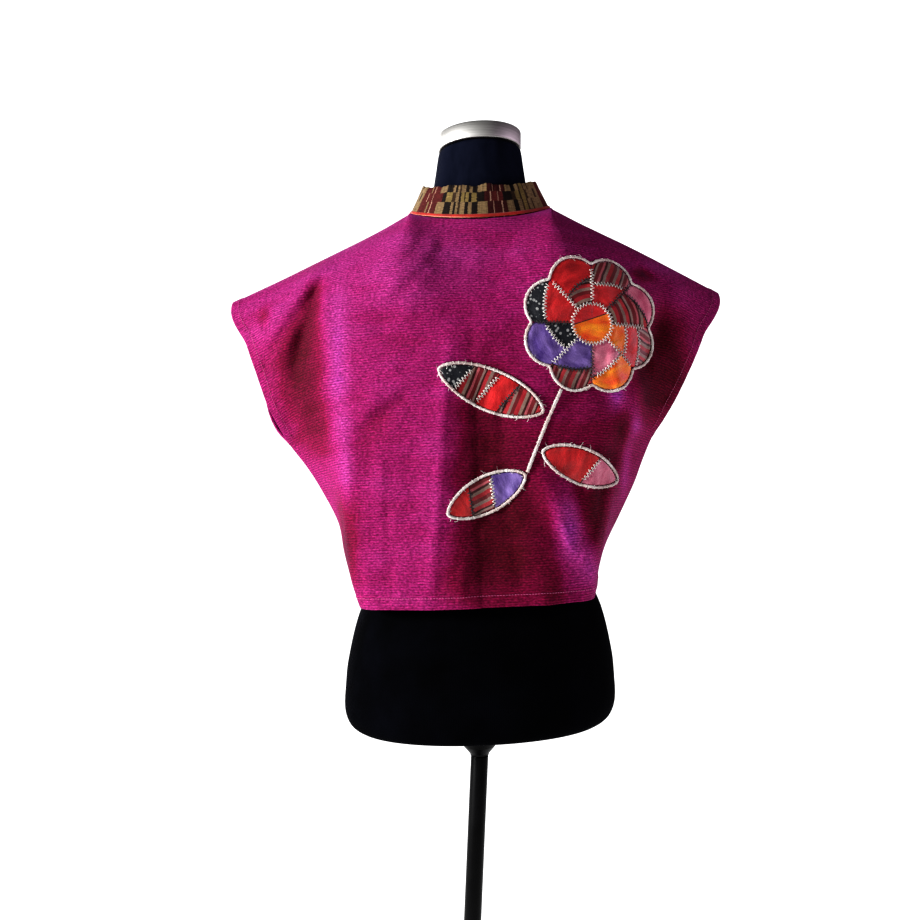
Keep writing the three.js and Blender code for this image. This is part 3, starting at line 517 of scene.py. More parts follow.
def shot_cotton():
    """Handwoven cotton, red weft over a violet warp: ribbed, slubby, with painted shade in its folds and
    painted violet highlights where it turns.
    """
    material, tree, shader = start_material("shot_cotton")
    across, along = flat_lengths(tree)
    # painted light of each place: painted shade in folds and valleys, painted highlights on ridges and turns
    painted_light_tone = node(tree, "ShaderNodeAttribute", attribute_name="painted_light_tone").outputs["Fac"]
    slubs = threads(tree, across, along, (300, 560), 2)
    streaks = threads(tree, across, along, (120, 480), 2)
    bands = threads(tree, across, along, (9, 38), 3)
    warp = threads(tree, across, along, (640, 200), 2)
    rib = arithmetic(tree, "SINE", arithmetic(tree, "MULTIPLY", along, 2 * math.pi / (RIB_PITCH * MM)))
    # broad bands of uneven dye over the painted light; the ramp runs from painted shade in deep crimson
    # through magenta to painted violet highlight
    bands_and_painted_light = arithmetic(tree, "MULTIPLY_ADD", arithmetic(tree, "SUBTRACT", bands, 0.5), 0.35, painted_light_tone)
    colour = ramp(tree, bands_and_painted_light, [
        (0.0, (0.085, 0.0015, 0.012)),
        (0.28, (0.19, 0.004, 0.045)),
        (0.5, (0.29, 0.014, 0.12)),
        (0.74, (0.35, 0.034, 0.20)),
        (1.0, (0.31, 0.038, 0.26)),
    ])
    colour = shaded(tree, 0.8, colour, slubs, [
        (0.34, (0.5, 0.44, 0.5)), (0.5, (1, 1, 1)), (0.66, (1.6, 2.0, 1.65))])
    colour = shaded(tree, 0.7, colour, streaks, [
        (0.32, (0.64, 0.6, 0.68)), (0.52, (1, 1, 1)), (0.68, (1.32, 1.46, 1.28))])
    # darker in the grooves between the weft ribs and lighter on their crests: painted shade and highlight of
    # the ribs
    colour = shaded(tree, 1.0, colour, arithmetic(tree, "MULTIPLY_ADD", rib, 0.5, 0.5), [
        (0.0, (0.66, 0.62, 0.7)), (0.6, (1.12, 1.16, 1.1))])
    colour = shaded(tree, 0.45, colour, warp, [(0.35, (0.8, 0.8, 0.95)), (0.6, (1.08, 1.05, 1))])
    relief = arithmetic(tree, "MULTIPLY_ADD", rib, 0.22, slubs)
    relief = arithmetic(tree, "MULTIPLY_ADD", warp, 0.4, relief)
    finish_surface(tree, shader, colour, relief, 0.7, 0.0007, {
        "Roughness": 0.82,
        "Specular IOR Level": 0.15,
        "Sheen Weight": 0.08,
        "Sheen Roughness": 0.45,
        "Sheen Tint": (0.7, 0.25, 0.95, 1),
    })
    return material


def set_painted_light(mesh, painted_light_tone):
    """Painted light kept on the cloth's points: painted shade in deep crimson (0), plain magenta, painted
    violet highlight (1).
    """
    both_faces = np.concatenate([painted_light_tone.ravel(), painted_light_tone.ravel()]).astype(np.float32)
    mesh.attributes.new("painted_light_tone", "FLOAT", "POINT").data.foreach_set("value", both_faces)


def painted_light_of(panel, spots):
    """Painted light from the folds, painted shade in troughs and painted highlight on ridges, and from soft
    spots of painted shade and highlight: (x, z, reach across, reach down, amount).
    """
    x = panel["outer"][..., 0]
    z = panel["outer"][..., 2]
    painted_light_tone = MIDDLE_TONE + np.clip(panel["height"] / FOLD_FULL_PAINTED_LIGHT, -1, 1) * FOLD_PAINTED_LIGHT
    for spot_x, spot_z, wide, tall, amount in spots:
        painted_light_tone = painted_light_tone + amount * np.exp(-((x - spot_x) / wide) ** 2 - ((z - spot_z) / tall) ** 2)
    return np.clip(painted_light_tone, 0, 1)


def spaced(count, focus=()):
    """Shares from 0 to 1, closer together near the listed places."""
    fine = np.linspace(0, 1, 2001)
    density = 1 + 0 * fine
    for place, reach, weight in focus:
        density = density + weight * np.exp(-((fine - place) / reach) ** 2)
    total = np.concatenate([[0], np.cumsum((density[1:] + density[:-1]) / 2)])
    shares = np.interp(np.linspace(0, total[-1], count + 1), total, fine)
    shares[0] = 0
    shares[-1] = 1
    return shares


DOWN = spaced(172, [(0, 0.05, 1.6), (0.15, 0.1, 0.4), (1, 0.03, 1.2)])
HALF = spaced(112, [(0.55, 0.2, 0.35), (1, 0.03, 1.4)])
BACK_ACROSS = np.concatenate([-HALF[:0:-1], HALF])
# soft spots of painted shade (amount below zero) and painted highlight (above zero) on the back: x, z, reach
# across, reach down, amount
BACK_PAINTED_LIGHT = [
    (-250, 1120, 60, 40, 0.1),
    (-262, 1118, 9, 12, -0.35),
    (-120, 1180, 90, 50, 0.14),
    (-40, 1176, 60, 40, 0.12),
    (-200, 1136, 12, 36, -0.2),
    (-210, 1096, 28, 48, -0.2),
    (-222, 1046, 34, 50, -0.26),
    (-203, 1010, 22, 40, -0.2),
    (-190, 975, 28, 36, -0.25),
    (-167, 1056, 13, 80, 0.34),
    (-156, 930, 9, 60, 0.24),
    (-158, 846, 16, 66, -0.6),
    (-120, 985, 26, 22, -0.12),
    (-5, 940, 34, 130, -0.2),
    (-25, 815, 32, 36, -0.2),
    (45, 826, 34, 44, -0.14),
    (80, 796, 14, 34, -0.3),
    (40, 880, 50, 90, -0.24),
    (120, 940, 110, 120, -0.22),
    (100, 864, 18, 46, 0.55),
    (123, 818, 14, 18, 0.35),
    (138, 930, 16, 30, -0.2),
    (136, 866, 10, 40, -0.25),
    (150, 1050, 10, 34, 0.5),
    (156, 1020, 9, 20, 0.45),
    (165, 984, 13, 20, -0.34),
    (184, 985, 8, 10, 0.4),
    (222, 1046, 24, 38, -0.42),
    (123, 890, 12, 26, -0.22),
    (175, 933, 8, 34, 0.35),
    (198, 1040, 18, 50, -0.36),
    (228, 1070, 26, 60, -0.3),
    (192, 1166, 12, 10, -0.45),
    (214, 1178, 60, 10, 0.2),
]

back = weave_panel(BACK_ACROSS, DOWN, 0, False, BACK_FOLDS, BACK_CREASES, seed=3)
cotton = shot_cotton()
back_mesh = close_shell("back_panel_cloth", back["inner"], back["outer"],
                        back["from_centre"], back["from_hem"])
# the back's painted shade and highlights, from its folds and its spots
set_painted_light(back_mesh, painted_light_of(back, BACK_PAINTED_LIGHT))
back_cloth = add_piece("back_panel_cloth", back_mesh, cotton, ["back_panel"])

# ------------------------------------------------------------------ fronts
# Two fronts of the same cotton, joined to the back along the shoulders and
# below the arms. Their straight edges are turned and hang apart at the centre.
FRONT_FOLDS = [
    (196, 1170, 214, 1062, 16, -7),
    (160, 1010, 148, 790, 16, 5),
    (84, 1060, 92, 790, 20, 5),
    (120, 1000, 124, 800, 14, -5),
]
FRONT_CREASES = {
    "left": [
        (-70, 1130, -120, 1060, 10, 2.8),
        (-96, 1040, -134, 996, 8, -2.6),
        (-60, 940, -66, 820, 9, 3.0),
        (-170, 960, -156, 860, 7, 2.6),
        (-206, 1120, -240, 1080, 8, 2.4),
        (-150, 1190, -196, 1160, 8, -2.4),
        (-46, 1160, -58, 1096, 7, -1.6),
        (-104, 850, -110, 790, 6, 2.0),
        (-128, 1010, -160, 980, 7, 2.2),
        (-84, 900, -92, 836, 6, -1.8),
    ],
    "right": [
        (62, 1150, 104, 1084, 9, 2.4),
        (110, 1050, 150, 1010, 9, 3.0),
        (74, 900, 70, 806, 8, -2.6),
        (150, 930, 138, 850, 7, 2.8),
        (196, 1110, 226, 1066, 8, -2.6),
        (140, 1200, 190, 1166, 8, 1.8),
        (52, 1100, 50, 1030, 6, 1.6),
        (100, 860, 112, 792, 6, -2.2),
        (96, 1010, 128, 972, 7, -2.0),
        (120, 930, 116, 880, 6, 1.6),
    ],
}
# soft spots of painted shade (amount below zero) and painted highlight (above zero) on the fronts: x, z,
# reach across, reach down, amount
FRONT_PAINTED_LIGHT = [
    (-150, 1150, 80, 60, 0.12),
    (-204, 1110, 26, 60, -0.16),
    (-152, 930, 12, 110, 0.35),
    (-110, 990, 40, 40, -0.15),
    (-84, 870, 12, 60, 0.25),
    (-60, 880, 14, 80, -0.2),
    (156, 940, 12, 100, 0.35),
    (204, 1100, 26, 60, -0.16),
    (150, 1150, 80, 60, 0.1),
    (92, 860, 14, 60, 0.25),
    (118, 940, 20, 80, -0.2),
    (0, 900, 60, 120, -0.06),
]
front_panels = {}
for side_name, side in (("left", -1), ("right", 1)):
    panel = weave_panel(HALF, DOWN, side, True, FRONT_FOLDS, FRONT_CREASES[side_name], seed=5 + side)
    mesh = close_shell("front_cloth_" + side_name, panel["inner"], panel["outer"],
                       panel["from_centre"], panel["from_hem"])
    # the front's painted shade and highlights, from its folds and its spots
    set_painted_light(mesh, painted_light_of(panel, FRONT_PAINTED_LIGHT))
    piece = add_piece("front_cloth_" + side_name, mesh, cotton, ["front_" + side_name])
    front_panels[side_name] = panel

# ------------------------------------------------------------------ topstitching
# A row of machine stitches in matching thread holds each turned edge: along
# the bottom, up both sleeve edges and down the two front edges.
STITCH = 2.4
STITCH_PITCH = 3.3
THREAD = 0.3
STITCH_SIDES = 5
HEM_ROW = 13.2
SLEEVE_ROW = 11.4
# rings of one stitch: place along it, its share of the thread's radius, rise
STITCH_RINGS = ((-0.5, 0.35, -0.1), (-0.3, 0.95, 0.25), (0.3, 0.95, 0.25), (0.5, 0.35, -0.1))


def on_panel(panel, u, v):
    """Outer face and normal of a panel at any u and v."""
    column = np.interp(u, panel["u"], np.arange(len(panel["u"])))
    row = np.interp(v, panel["v"], np.arange(len(panel["v"])))
    i = np.clip(row.astype(int), 0, len(panel["v"]) - 2)
    j = np.clip(column.astype(int), 0, len(panel["u"]) - 2)
    p = (row - i)[..., None]
    q = (column - j)[..., None]
    found = []
    for grid in (panel["outer"], panel["normal"]):
        top = mix(grid[i, j], grid[i, j + 1], q)
        low = mix(grid[i + 1, j], grid[i + 1, j + 1], q)
        found.append(mix(top, low, p))
    return found[0], unit(found[1])


def evenly(points, normals, pitch):
    """The same line with its points at an even pitch, and the normals and directions there."""
    run = lengths_along(points, 0)
    stops = np.arange(pitch / 2, run[-1], pitch)
    placed = np.stack([np.interp(stops, run, points[:, k]) for k in range(3)], -1)
    turned = unit(np.stack([np.interp(stops, run, normals[:, k]) for k in range(3)], -1))
    return placed, turned, unit(np.gradient(placed, axis=0))


def ring_of(centre, radius, first, second, sides):
    """Points of a circle that lies in two directions."""
    turns = [2 * math.pi * k / sides for k in range(sides)]
    return [centre + radius * (first * math.cos(turn) + second * math.sin(turn)) for turn in turns]


def tube_faces(start, rings, sides, closed=False):
    """Faces of a tube through rings of points, which joins its own start or has two flat ends."""
    faces = []
    for ring in range(rings if closed else rings - 1):
        here = start + ring * sides
        beyond = start + (ring + 1) % rings * sides
        for k in range(sides):
            n = (k + 1) % sides
            faces.append((here + k, here + n, beyond + n, beyond + k))
    if not closed:
        last = start + (rings - 1) * sides
        faces.append(tuple(range(start + sides - 1, start - 1, -1)))
        faces.append(tuple(range(last, last + sides)))
    return faces


def outward_mesh(name, points, faces, smooth=True):
    """Mesh from points in millimetres, its faces turned outward."""
    mesh = bpy.data.meshes.new(name)
    mesh.from_pydata((np.array(points) * MM).tolist(), [], faces)
    turn_outward(mesh)
    if smooth:
        mesh.shade_smooth()
    return mesh


def stitch_row(name, lines, material):
    """Short rounded dashes of thread, sunk a little at both ends."""
    points = []
    faces = []
    for line, line_normals in lines:
        for spot, normal, direction in zip(*evenly(line, line_normals, STITCH_PITCH)):
            across = np.cross(direction, normal)
            faces += tube_faces(len(points), len(STITCH_RINGS), STITCH_SIDES)
            for place, wide, rise in STITCH_RINGS:
                centre = spot + direction * place * STITCH + normal * rise * THREAD * 2
                points += ring_of(centre, THREAD * wide, across, normal, STITCH_SIDES)
    add_piece(name, outward_mesh(name, points, faces), material)


def sewing_thread(name, colour):
    """Twisted sewing cotton."""
    material, tree, shader = start_material(name)
    place = node(tree, "ShaderNodeTexCoord").outputs["Object"]
    twist = even_noise(tree, place, 1400, 2)
    dark = tuple(c * 0.6 for c in colour)
    light = tuple(min(1, c * 1.25) for c in colour)
    picked = ramp(tree, twist, [(0.35, dark), (0.65, light)])
    finish_surface(tree, shader, picked, twist, 0.4, 0.0002, {
        "Roughness": 0.6,
        "Sheen Weight": 0.2,
    })
    return material


def edge_lines(panel, ends):
    """Lines of stitching on a panel, at a set distance from its hem and from its open sides."""
    u_inside = panel["u"][2:-2]
    rows = []
    for k in range(2, len(panel["u"]) - 2):
        rows.append(np.interp(-HEM_ROW, -panel["from_hem"][:, k], panel["v"]))
    rows = np.array(rows)
    smooth = np.convolve(np.pad(rows, 4, mode="edge"), np.ones(9) / 9, mode="valid")
    lines = [on_panel(panel, u_inside, smooth)]
    middle = len(panel["u"]) // 2
    for end in ends:
        shares = []
        lowest = ABOVE_UNDERARM if end != "centre" else 0.965
        picked = (panel["v"] > 0.012) & (panel["v"] < lowest)
        for row in np.nonzero(picked)[0]:
            if end == "centre":
                shares.append(np.interp(SLEEVE_ROW, panel["from_centre"][row], panel["u"]))
            elif end == "right":
                shares.append(np.interp(-SLEEVE_ROW, -panel["from_tip"][row, middle:], panel["u"][middle:]))
            else:
                shares.append(np.interp(SLEEVE_ROW, panel["from_tip"][row, :middle], panel["u"][:middle]))
        lines.append(on_panel(panel, np.array(shares), panel["v"][picked]))
    return lines


matching_thread = sewing_thread("matching_thread", (0.6, 0.13, 0.3))
stitch_row("back_topstitching", edge_lines(back, ["left", "right"]), matching_thread)
for side_name, panel in front_panels.items():
    stitch_row("front_topstitching_" + side_name, edge_lines(panel, ["right", "centre"]),
               matching_thread)

# ------------------------------------------------------------------ collar band
# A stand collar of doubled handwoven ikat, in three rows of blocks and
# stripes in tan, dark brown and maroon. It is sewn on around the neckline.
COLLAR_THICK = 2.6
COLLAR_BACK_HEIGHT = 42.5
COLLAR_SIDE_HEIGHT = 34
COLLAR_TOP_X = 70
COLLAR_TOP_BACK_Y = -64
COLLAR_TOP_FRONT_Y = 68
COLLAR_LIFT = 0.4
SHOULDER_LIFT = 1.7
SHOULDER_REACH = 0.4
COLLAR_REPEAT = 0.192
IKAT_FOOT_ROW = 20.5
IKAT_TOP_ROW = 9.5

TAN = (0.22, 0.155, 0.085)
OLIVE = (0.21, 0.155, 0.062)
BROWN = (0.05, 0.03, 0.018)
BLACK_BROWN = (0.014, 0.009, 0.008)
MAROON = (0.095, 0.018, 0.018)
DARK_MAROON = (0.05, 0.009, 0.01)
PALE_LINE = (0.42, 0.27, 0.20)

# bands of each row against the place in one repeat, which runs from -96 to +96
UPPER_BANDS = [
    (-96, MAROON), (-84, PALE_LINE), (-83, MAROON), (-73, PALE_LINE), (-72, MAROON), (-55, BLACK_BROWN),
    (-49, OLIVE), (-40, BROWN), (-35, TAN), (-30, BLACK_BROWN), (-27, OLIVE), (-23, BLACK_BROWN),
    (-21, OLIVE), (-17, BLACK_BROWN), (-13, OLIVE), (-6, BLACK_BROWN), (4, DARK_MAROON), (12, PALE_LINE),
    (12.9, MAROON), (22, PALE_LINE), (22.9, MAROON), (30, BLACK_BROWN), (43, BROWN), (49, OLIVE),
    (56, BLACK_BROWN), (58, OLIVE), (66, BROWN), (70, TAN), (84, BROWN), (88, TAN),
]
LOWER_BANDS = [
    (-96, MAROON), (-80, TAN), (-77, MAROON), (-72, PALE_LINE), (-71, MAROON), (-62, TAN), (-50, BLACK_BROWN),
    (-40, TAN), (-36, BLACK_BROWN), (-33, TAN), (-30, BROWN), (-27, TAN), (-21, BLACK_BROWN), (-17, TAN),
    (-12, BLACK_BROWN), (-5, TAN), (8, DARK_MAROON), (15.5, PALE_LINE), (16.4, DARK_MAROON), (27, PALE_LINE),
    (27.9, DARK_MAROON), (34, TAN), (44, BLACK_BROWN), (51, TAN), (57, BROWN), (59, OLIVE), (65, BROWN),
    (67, TAN), (74, BROWN), (76, TAN),
]


def neck_ring(turn):
    """Neckline all round: turn 0 at the centre back, 1 and -1 at the centre front."""
    side = np.where(turn < 0, -1, 1)
    share = np.abs(turn) * 2
    back_x, back_y, back_z = top_edge(np.clip(share, 0, 1) * NECK_SHARE * 0.99999, side, False)
    front_x, front_y, front_z = top_edge(np.clip(2 - share, 0, 1) * NECK_SHARE * 0.99999, side, True)
    behind = share <= 1
    return (np.where(behind, back_x, front_x), np.where(behind, back_y, front_y),
            np.where(behind, back_z, front_z))


def collar_points(turn, up, outward):
    """Places on the collar from its foot (0) to its top (1), moved out from its middle."""
    base_x, base_y, base_z = neck_ring(turn)
    angle = np.abs(np.arctan2(base_x / NECK_SIDE_X, base_y / NECK_BACK_Y)) / math.pi
    height = mix(COLLAR_BACK_HEIGHT, COLLAR_SIDE_HEIGHT, ease(0, 0.5, angle))
    top_share = np.where(base_y < 0, COLLAR_TOP_BACK_Y / NECK_BACK_Y, COLLAR_TOP_FRONT_Y / NECK_FRONT_Y)
    out = unit(np.stack([base_x / NECK_SIDE_X ** 2, base_y / COLLAR_TOP_FRONT_Y ** 2, 0 * base_x], -1))
    x = base_x * mix(1, COLLAR_TOP_X / NECK_SIDE_X, up) + out[..., 0] * outward
    y = base_y * mix(1, top_share, up) + out[..., 1] * outward
    at_shoulder = np.exp(-((np.abs(turn) * 2 - 1) / SHOULDER_REACH) ** 2)
    lift = COLLAR_LIFT + SHOULDER_LIFT * at_shoulder
    z = base_z + HEM_CLOTH / 2 + SEAM_GAP + lift + height * up
    return np.stack([x, y, z + SLANT * x], -1)


def ikat():
    """Handwoven ikat: bands with feathered edges in rows that alternate, crossed by fine weft."""
    material, tree, shader = start_material("ikat")
    across, along = flat_lengths(tree)
    feather = threads(tree, across, along, (90, 900), 3)
    moved = arithmetic(tree, "MULTIPLY_ADD", arithmetic(tree, "SUBTRACT", feather, 0.5), 0.0036, across)
    shifted = arithmetic(tree, "ADD", moved, COLLAR_REPEAT / 2)
    repeat = arithmetic(tree, "FRACT", arithmetic(tree, "DIVIDE", shifted, COLLAR_REPEAT))
    rows = []
    for bands in (LOWER_BANDS, UPPER_BANDS):
        stops = [((place + 96) / 192, colour) for place, colour in bands]
        rows.append(ramp(tree, repeat, stops, "CONSTANT"))
    waver = arithmetic(tree, "MULTIPLY_ADD", arithmetic(tree, "SUBTRACT", feather, 0.5), 0.002, along)
    above_foot = arithmetic(tree, "GREATER_THAN", waver, IKAT_FOOT_ROW * MM)
    below_top = arithmetic(tree, "LESS_THAN", waver, (COLLAR_BACK_HEIGHT - IKAT_TOP_ROW) * MM)
    colour = blend_colours(tree, arithmetic(tree, "MULTIPLY", above_foot, below_top), rows[0], rows[1])
    weft = threads(tree, across, along, (120, 1300), 2)
    colour = shaded(tree, 0.75, colour, weft, [
        (0.32, (0.35, 0.33, 0.32)), (0.5, (1, 1, 1)), (0.7, (1.5, 1.45, 1.35))])
    warp = threads(tree, across, along, (1500, 40), 2)
    colour = shaded(tree, 0.6, colour, warp, [(0.35, (0.55, 0.5, 0.5)), (0.62, (1.25, 1.2, 1.1))])
    relief = arithmetic(tree, "MULTIPLY_ADD", warp, 0.6, weft)
    finish_surface(tree, shader, colour, relief, 0.6, 0.0006, {
        "Roughness": 0.8,
        "Specular IOR Level": 0.2,
    })
    return material


RING_STEPS = 480
COLLAR_ROWS = np.array([1, 0.985, 0.95, 0.88, 0.8, 0.7, 0.6, 0.5, 0.4, 0.3, 0.2, 0.12, 0.05, 0.015, 0])
turns, ups = np.meshgrid(np.linspace(-1, 1, RING_STEPS + 1), COLLAR_ROWS)
middle_line = collar_points(turns, ups, 0 * turns)
around = lengths_along(middle_line, 1)
around = around - around[:, RING_STEPS // 2:RING_STEPS // 2 + 1]
foot_run = around[-1:] + 0 * around
soften = 1 - 0.55 * (np.abs(2 * ups - 1)) ** 14
wave = ups ** 3 * (1.3 * np.sin(foot_run / 11 + 1.3 * np.sin(foot_run / 23)) + 0.6 * np.sin(foot_run / 4.3)
                   + 0.35 * np.sin(foot_run / 1.1 + 2 * np.sin(foot_run / 7)))
collar_inner = collar_points(turns, ups, -COLLAR_THICK / 2 * soften + wave * 0.5)
collar_outer = collar_points(turns, ups, COLLAR_THICK / 2 * soften + wave * 0.5)
for face in (collar_inner, collar_outer):
    face[..., 2] += wave * 0.8
collar_mesh = close_shell("collar_cloth", collar_inner, collar_outer, foot_run, ups * COLLAR_BACK_HEIGHT)
collar = add_piece("collar_cloth", collar_mesh, ikat(), ["collar_band"])

# ------------------------------------------------------------------ neck piping
# A narrow folded strip of red-orange cotton, sewn flat over the seam between
# collar and body, with its folded edge downward.
PIPING_HEIGHT = 4.5
PIPING_THICK = 1.3
PIPING_LIFT = 0.006
PIPING_ROWS = np.array([1, 0.93, 0.75, 0.5, 0.25, 0.08, 0])


def piping_cotton():
    material, tree, shader = start_material("piping_cotton")
    across, along = flat_lengths(tree)
    fine = threads(tree, across, along, (900, 500), 2)
    patchy = threads(tree, across, along, (38, 10), 2)
    colour = ramp(tree, patchy, [(0.35, (0.26, 0.014, 0.008)), (0.6, (0.48, 0.022, 0.01))])
    # a paler line along the folded bottom edge, on the left half of the neck only
    fold = ramp(tree, arithmetic(tree, "DIVIDE", along, PIPING_HEIGHT * MM), [
        (0.0, (1, 1, 1)), (0.14, (1, 1, 1)), (0.2, (0, 0, 0))])
    left_side = ramp(tree, arithmetic(tree, "MULTIPLY_ADD", across, 5.0, 0.5), [
        (0.36, (1, 1, 1)), (0.5, (0, 0, 0))])
    pale_fold_on_left = arithmetic(tree, "MULTIPLY", fold, left_side)
    colour = blend_colours(tree, pale_fold_on_left, colour, (0.8, 0.3, 0.2, 1))
    colour = shaded(tree, 0.6, colour, fine, [(0.35, (0.6, 0.6, 0.6)), (0.65, (1.25, 1.25, 1.25))])
    finish_surface(tree, shader, colour, fine, 0.4, 0.0004, {
        "Roughness": 0.6,
        "Sheen Weight": 0.15,
    })
    return material


turns, shares = np.meshgrid(np.linspace(-1, 1, RING_STEPS + 1), PIPING_ROWS)
piping_ups = mix(PIPING_LIFT, PIPING_HEIGHT / COLLAR_BACK_HEIGHT, shares)
bulge = 0.35 + 0.65 * np.sqrt(np.clip(1 - (2 * shares - 1) ** 4, 0, 1))
piping_inner = collar_points(turns, piping_ups, COLLAR_THICK / 2 + SEAM_GAP + 0 * turns)
piping_outer = collar_points(turns, piping_ups, COLLAR_THICK / 2 + SEAM_GAP + PIPING_THICK * bulge)
piping_run = foot_run[:1] + 0 * shares
piping_mesh = close_shell("piping_cloth", piping_inner, piping_outer, piping_run, shares * PIPING_HEIGHT)
piping = add_piece("piping_cloth", piping_mesh, piping_cotton(), ["neck_piping"])

# ------------------------------------------------------------------ applique patches
# Scraps of satin, striped ikat and dotted cotton, cut to shape, laid on the
# back and zigzagged down: a rosette of eight blades round a disc, and three
# leaves below it.
MOTIF_THICK = 1.0
CORD_CLEAR = 0.4
PUCKER = 0.45
PUCKER_FINE = 0.2
JOIN_DIP = 0.5
ROSETTE_X = 126
ROSETTE_Z = 1100
ROSETTE_CORE = 23
ROSETTE_VALLEY = 67
ROSETTE_POINT = 79
BLADES = 8
BLADE_ROUND = 0.8
BLADE_TRIM = 0.25
LEAF_POINT = 1.35
LEAF_TIP_GROW = 1.4
STRIPE_REPEAT = 34
DISC_RINGS = 22
DISC_AROUND = 48
# each leaf from its foot (x, z) to its tip (x, z), and its width
LEAVES = [(66, 1000, -46, 1046, 42), (71, 953, 156, 921, 36), (46, 926, -36, 884, 36)]
JOIN_SLANT = 0.35

# scraps of each patch: the first one, then each next one and where it is pieced on
BLADE_SCRAPS = [
    ("red", ("stripe", 50)),
    ("stripe", ("pink", 61)),
    ("orange", ("red", 44), ("stripe", 62)),
    ("pink", ("orange", 53)),
    ("violet", ("stripe", 57)),
    ("dot", ("violet", 47)),
    ("red", ("dot", 60)),
    ("stripe", ("red", 46)),
]
LEAF_SCRAPS = [
    ("stripe", ("red", -22), ("stripe", 4), ("dot", 34)),
    ("red", ("pink", 12)),
    ("violet", ("stripe", -8), ("red", 20)),
]

finder = kdtree.KDTree(back["outer"].shape[0] * back["outer"].shape[1])
for number, point in enumerate(back["outer"].reshape(-1, 3)):
    finder.insert((point[0], 0, point[2]), number)
finder.balance()


def on_back(x, z):
    """Outer face and normal of the back panel at places given in x and z."""
    cols = len(back["u"])
    shape = x.shape
    x = x.ravel()
    z = z.ravel()
    nearest = np.array([finder.find((px, 0, pz))[1] for px, pz in zip(x, z)])
    i = np.clip(nearest // cols, 1, len(back["v"]) - 2)
    j = np.clip(nearest % cols, 1, cols - 2)
    outer = back["outer"]
    right = (outer[i, j + 1] - outer[i, j - 1]) / 2
    down = (outer[i + 1, j] - outer[i - 1, j]) / 2
    off_x = x - outer[i, j, 0]
    off_z = z - outer[i, j, 2]
    det = right[:, 0] * down[:, 2] - right[:, 2] * down[:, 0]
    p = (off_x * down[:, 2] - off_z * down[:, 0]) / det
    q = (off_z * right[:, 0] - off_x * right[:, 2]) / det
    u = np.interp(j + p, np.arange(cols), back["u"])
    v = np.interp(i + q, np.arange(len(back["v"])), back["v"])
    points, normals = on_panel(back, u, v)
    return points.reshape(*shape, 3), normals.reshape(*shape, 3)


def rosette_place(radius, angle):
    return ROSETTE_X + radius * np.sin(angle), ROSETTE_Z + radius * np.cos(angle)


def blade_radius(share):
    return mix(ROSETTE_VALLEY, ROSETTE_POINT, np.abs(np.sin(math.pi * share)) ** BLADE_ROUND)


# dark and light colour of each plain scrap; soft noise runs between them, partly uneven dye and partly
# painted sheen streaks on the satin
PLAIN_SCRAPS = {
    "red": ((0.30, 0.008, 0.012), (0.70, 0.03, 0.035)),
    "orange": ((0.74, 0.05, 0.012), (0.85, 0.30, 0.02)),
    "pink": ((0.42, 0.06, 0.13), (0.70, 0.26, 0.34)),
    "violet": ((0.06, 0.025, 0.17), (0.26, 0.17, 0.45)),
}


def scrap_colour(tree, kind, across, along, soft):
    """Colour of one kind of scrap over the patch's own flat lengths."""
    if kind == "stripe":
        uneven = arithmetic(tree, "MULTIPLY_ADD", arithmetic(tree, "SUBTRACT", soft, 0.5), 0.003, along)
        repeat = arithmetic(tree, "FRACT", arithmetic(tree, "DIVIDE", uneven, STRIPE_REPEAT * MM))
        return ramp(tree, repeat, [
            (0, (0.14, 0.012, 0.016)), (0.12, (0.24, 0.15, 0.13)), (0.22, (0.40, 0.03, 0.04)),
            (0.34, (0.05, 0.008, 0.008)), (0.40, (0.28, 0.18, 0.16)), (0.47, (0.16, 0.014, 0.02)),
            (0.6, (0.44, 0.10, 0.12)), (0.68, (0.06, 0.01, 0.01)), (0.76, (0.24, 0.16, 0.13)),
            (0.86, (0.34, 0.02, 0.03))], "CONSTANT")
    if kind == "dot":
        place = node(tree, "ShaderNodeCombineXYZ", {0: across, 1: along})
        dots = node(tree, "ShaderNodeTexVoronoi", {"Vector": place.outputs[0], "Scale": 190.0,
                                                   "Randomness": 0.8})
        return ramp(tree, dots.outputs["Distance"], [
            (0.0, (0.42, 0.42, 0.41)), (0.3, (0.34, 0.34, 0.34)), (0.36, (0.014, 0.016, 0.022)),
            (1.0, (0.02, 0.02, 0.026))])
    # plain scraps go from dark to light over soft noise: uneven dye, with painted sheen streaks on the satin
    return ramp(tree, soft, [(0.32, PLAIN_SCRAPS[kind][0]), (0.66, PLAIN_SCRAPS[kind][1])])


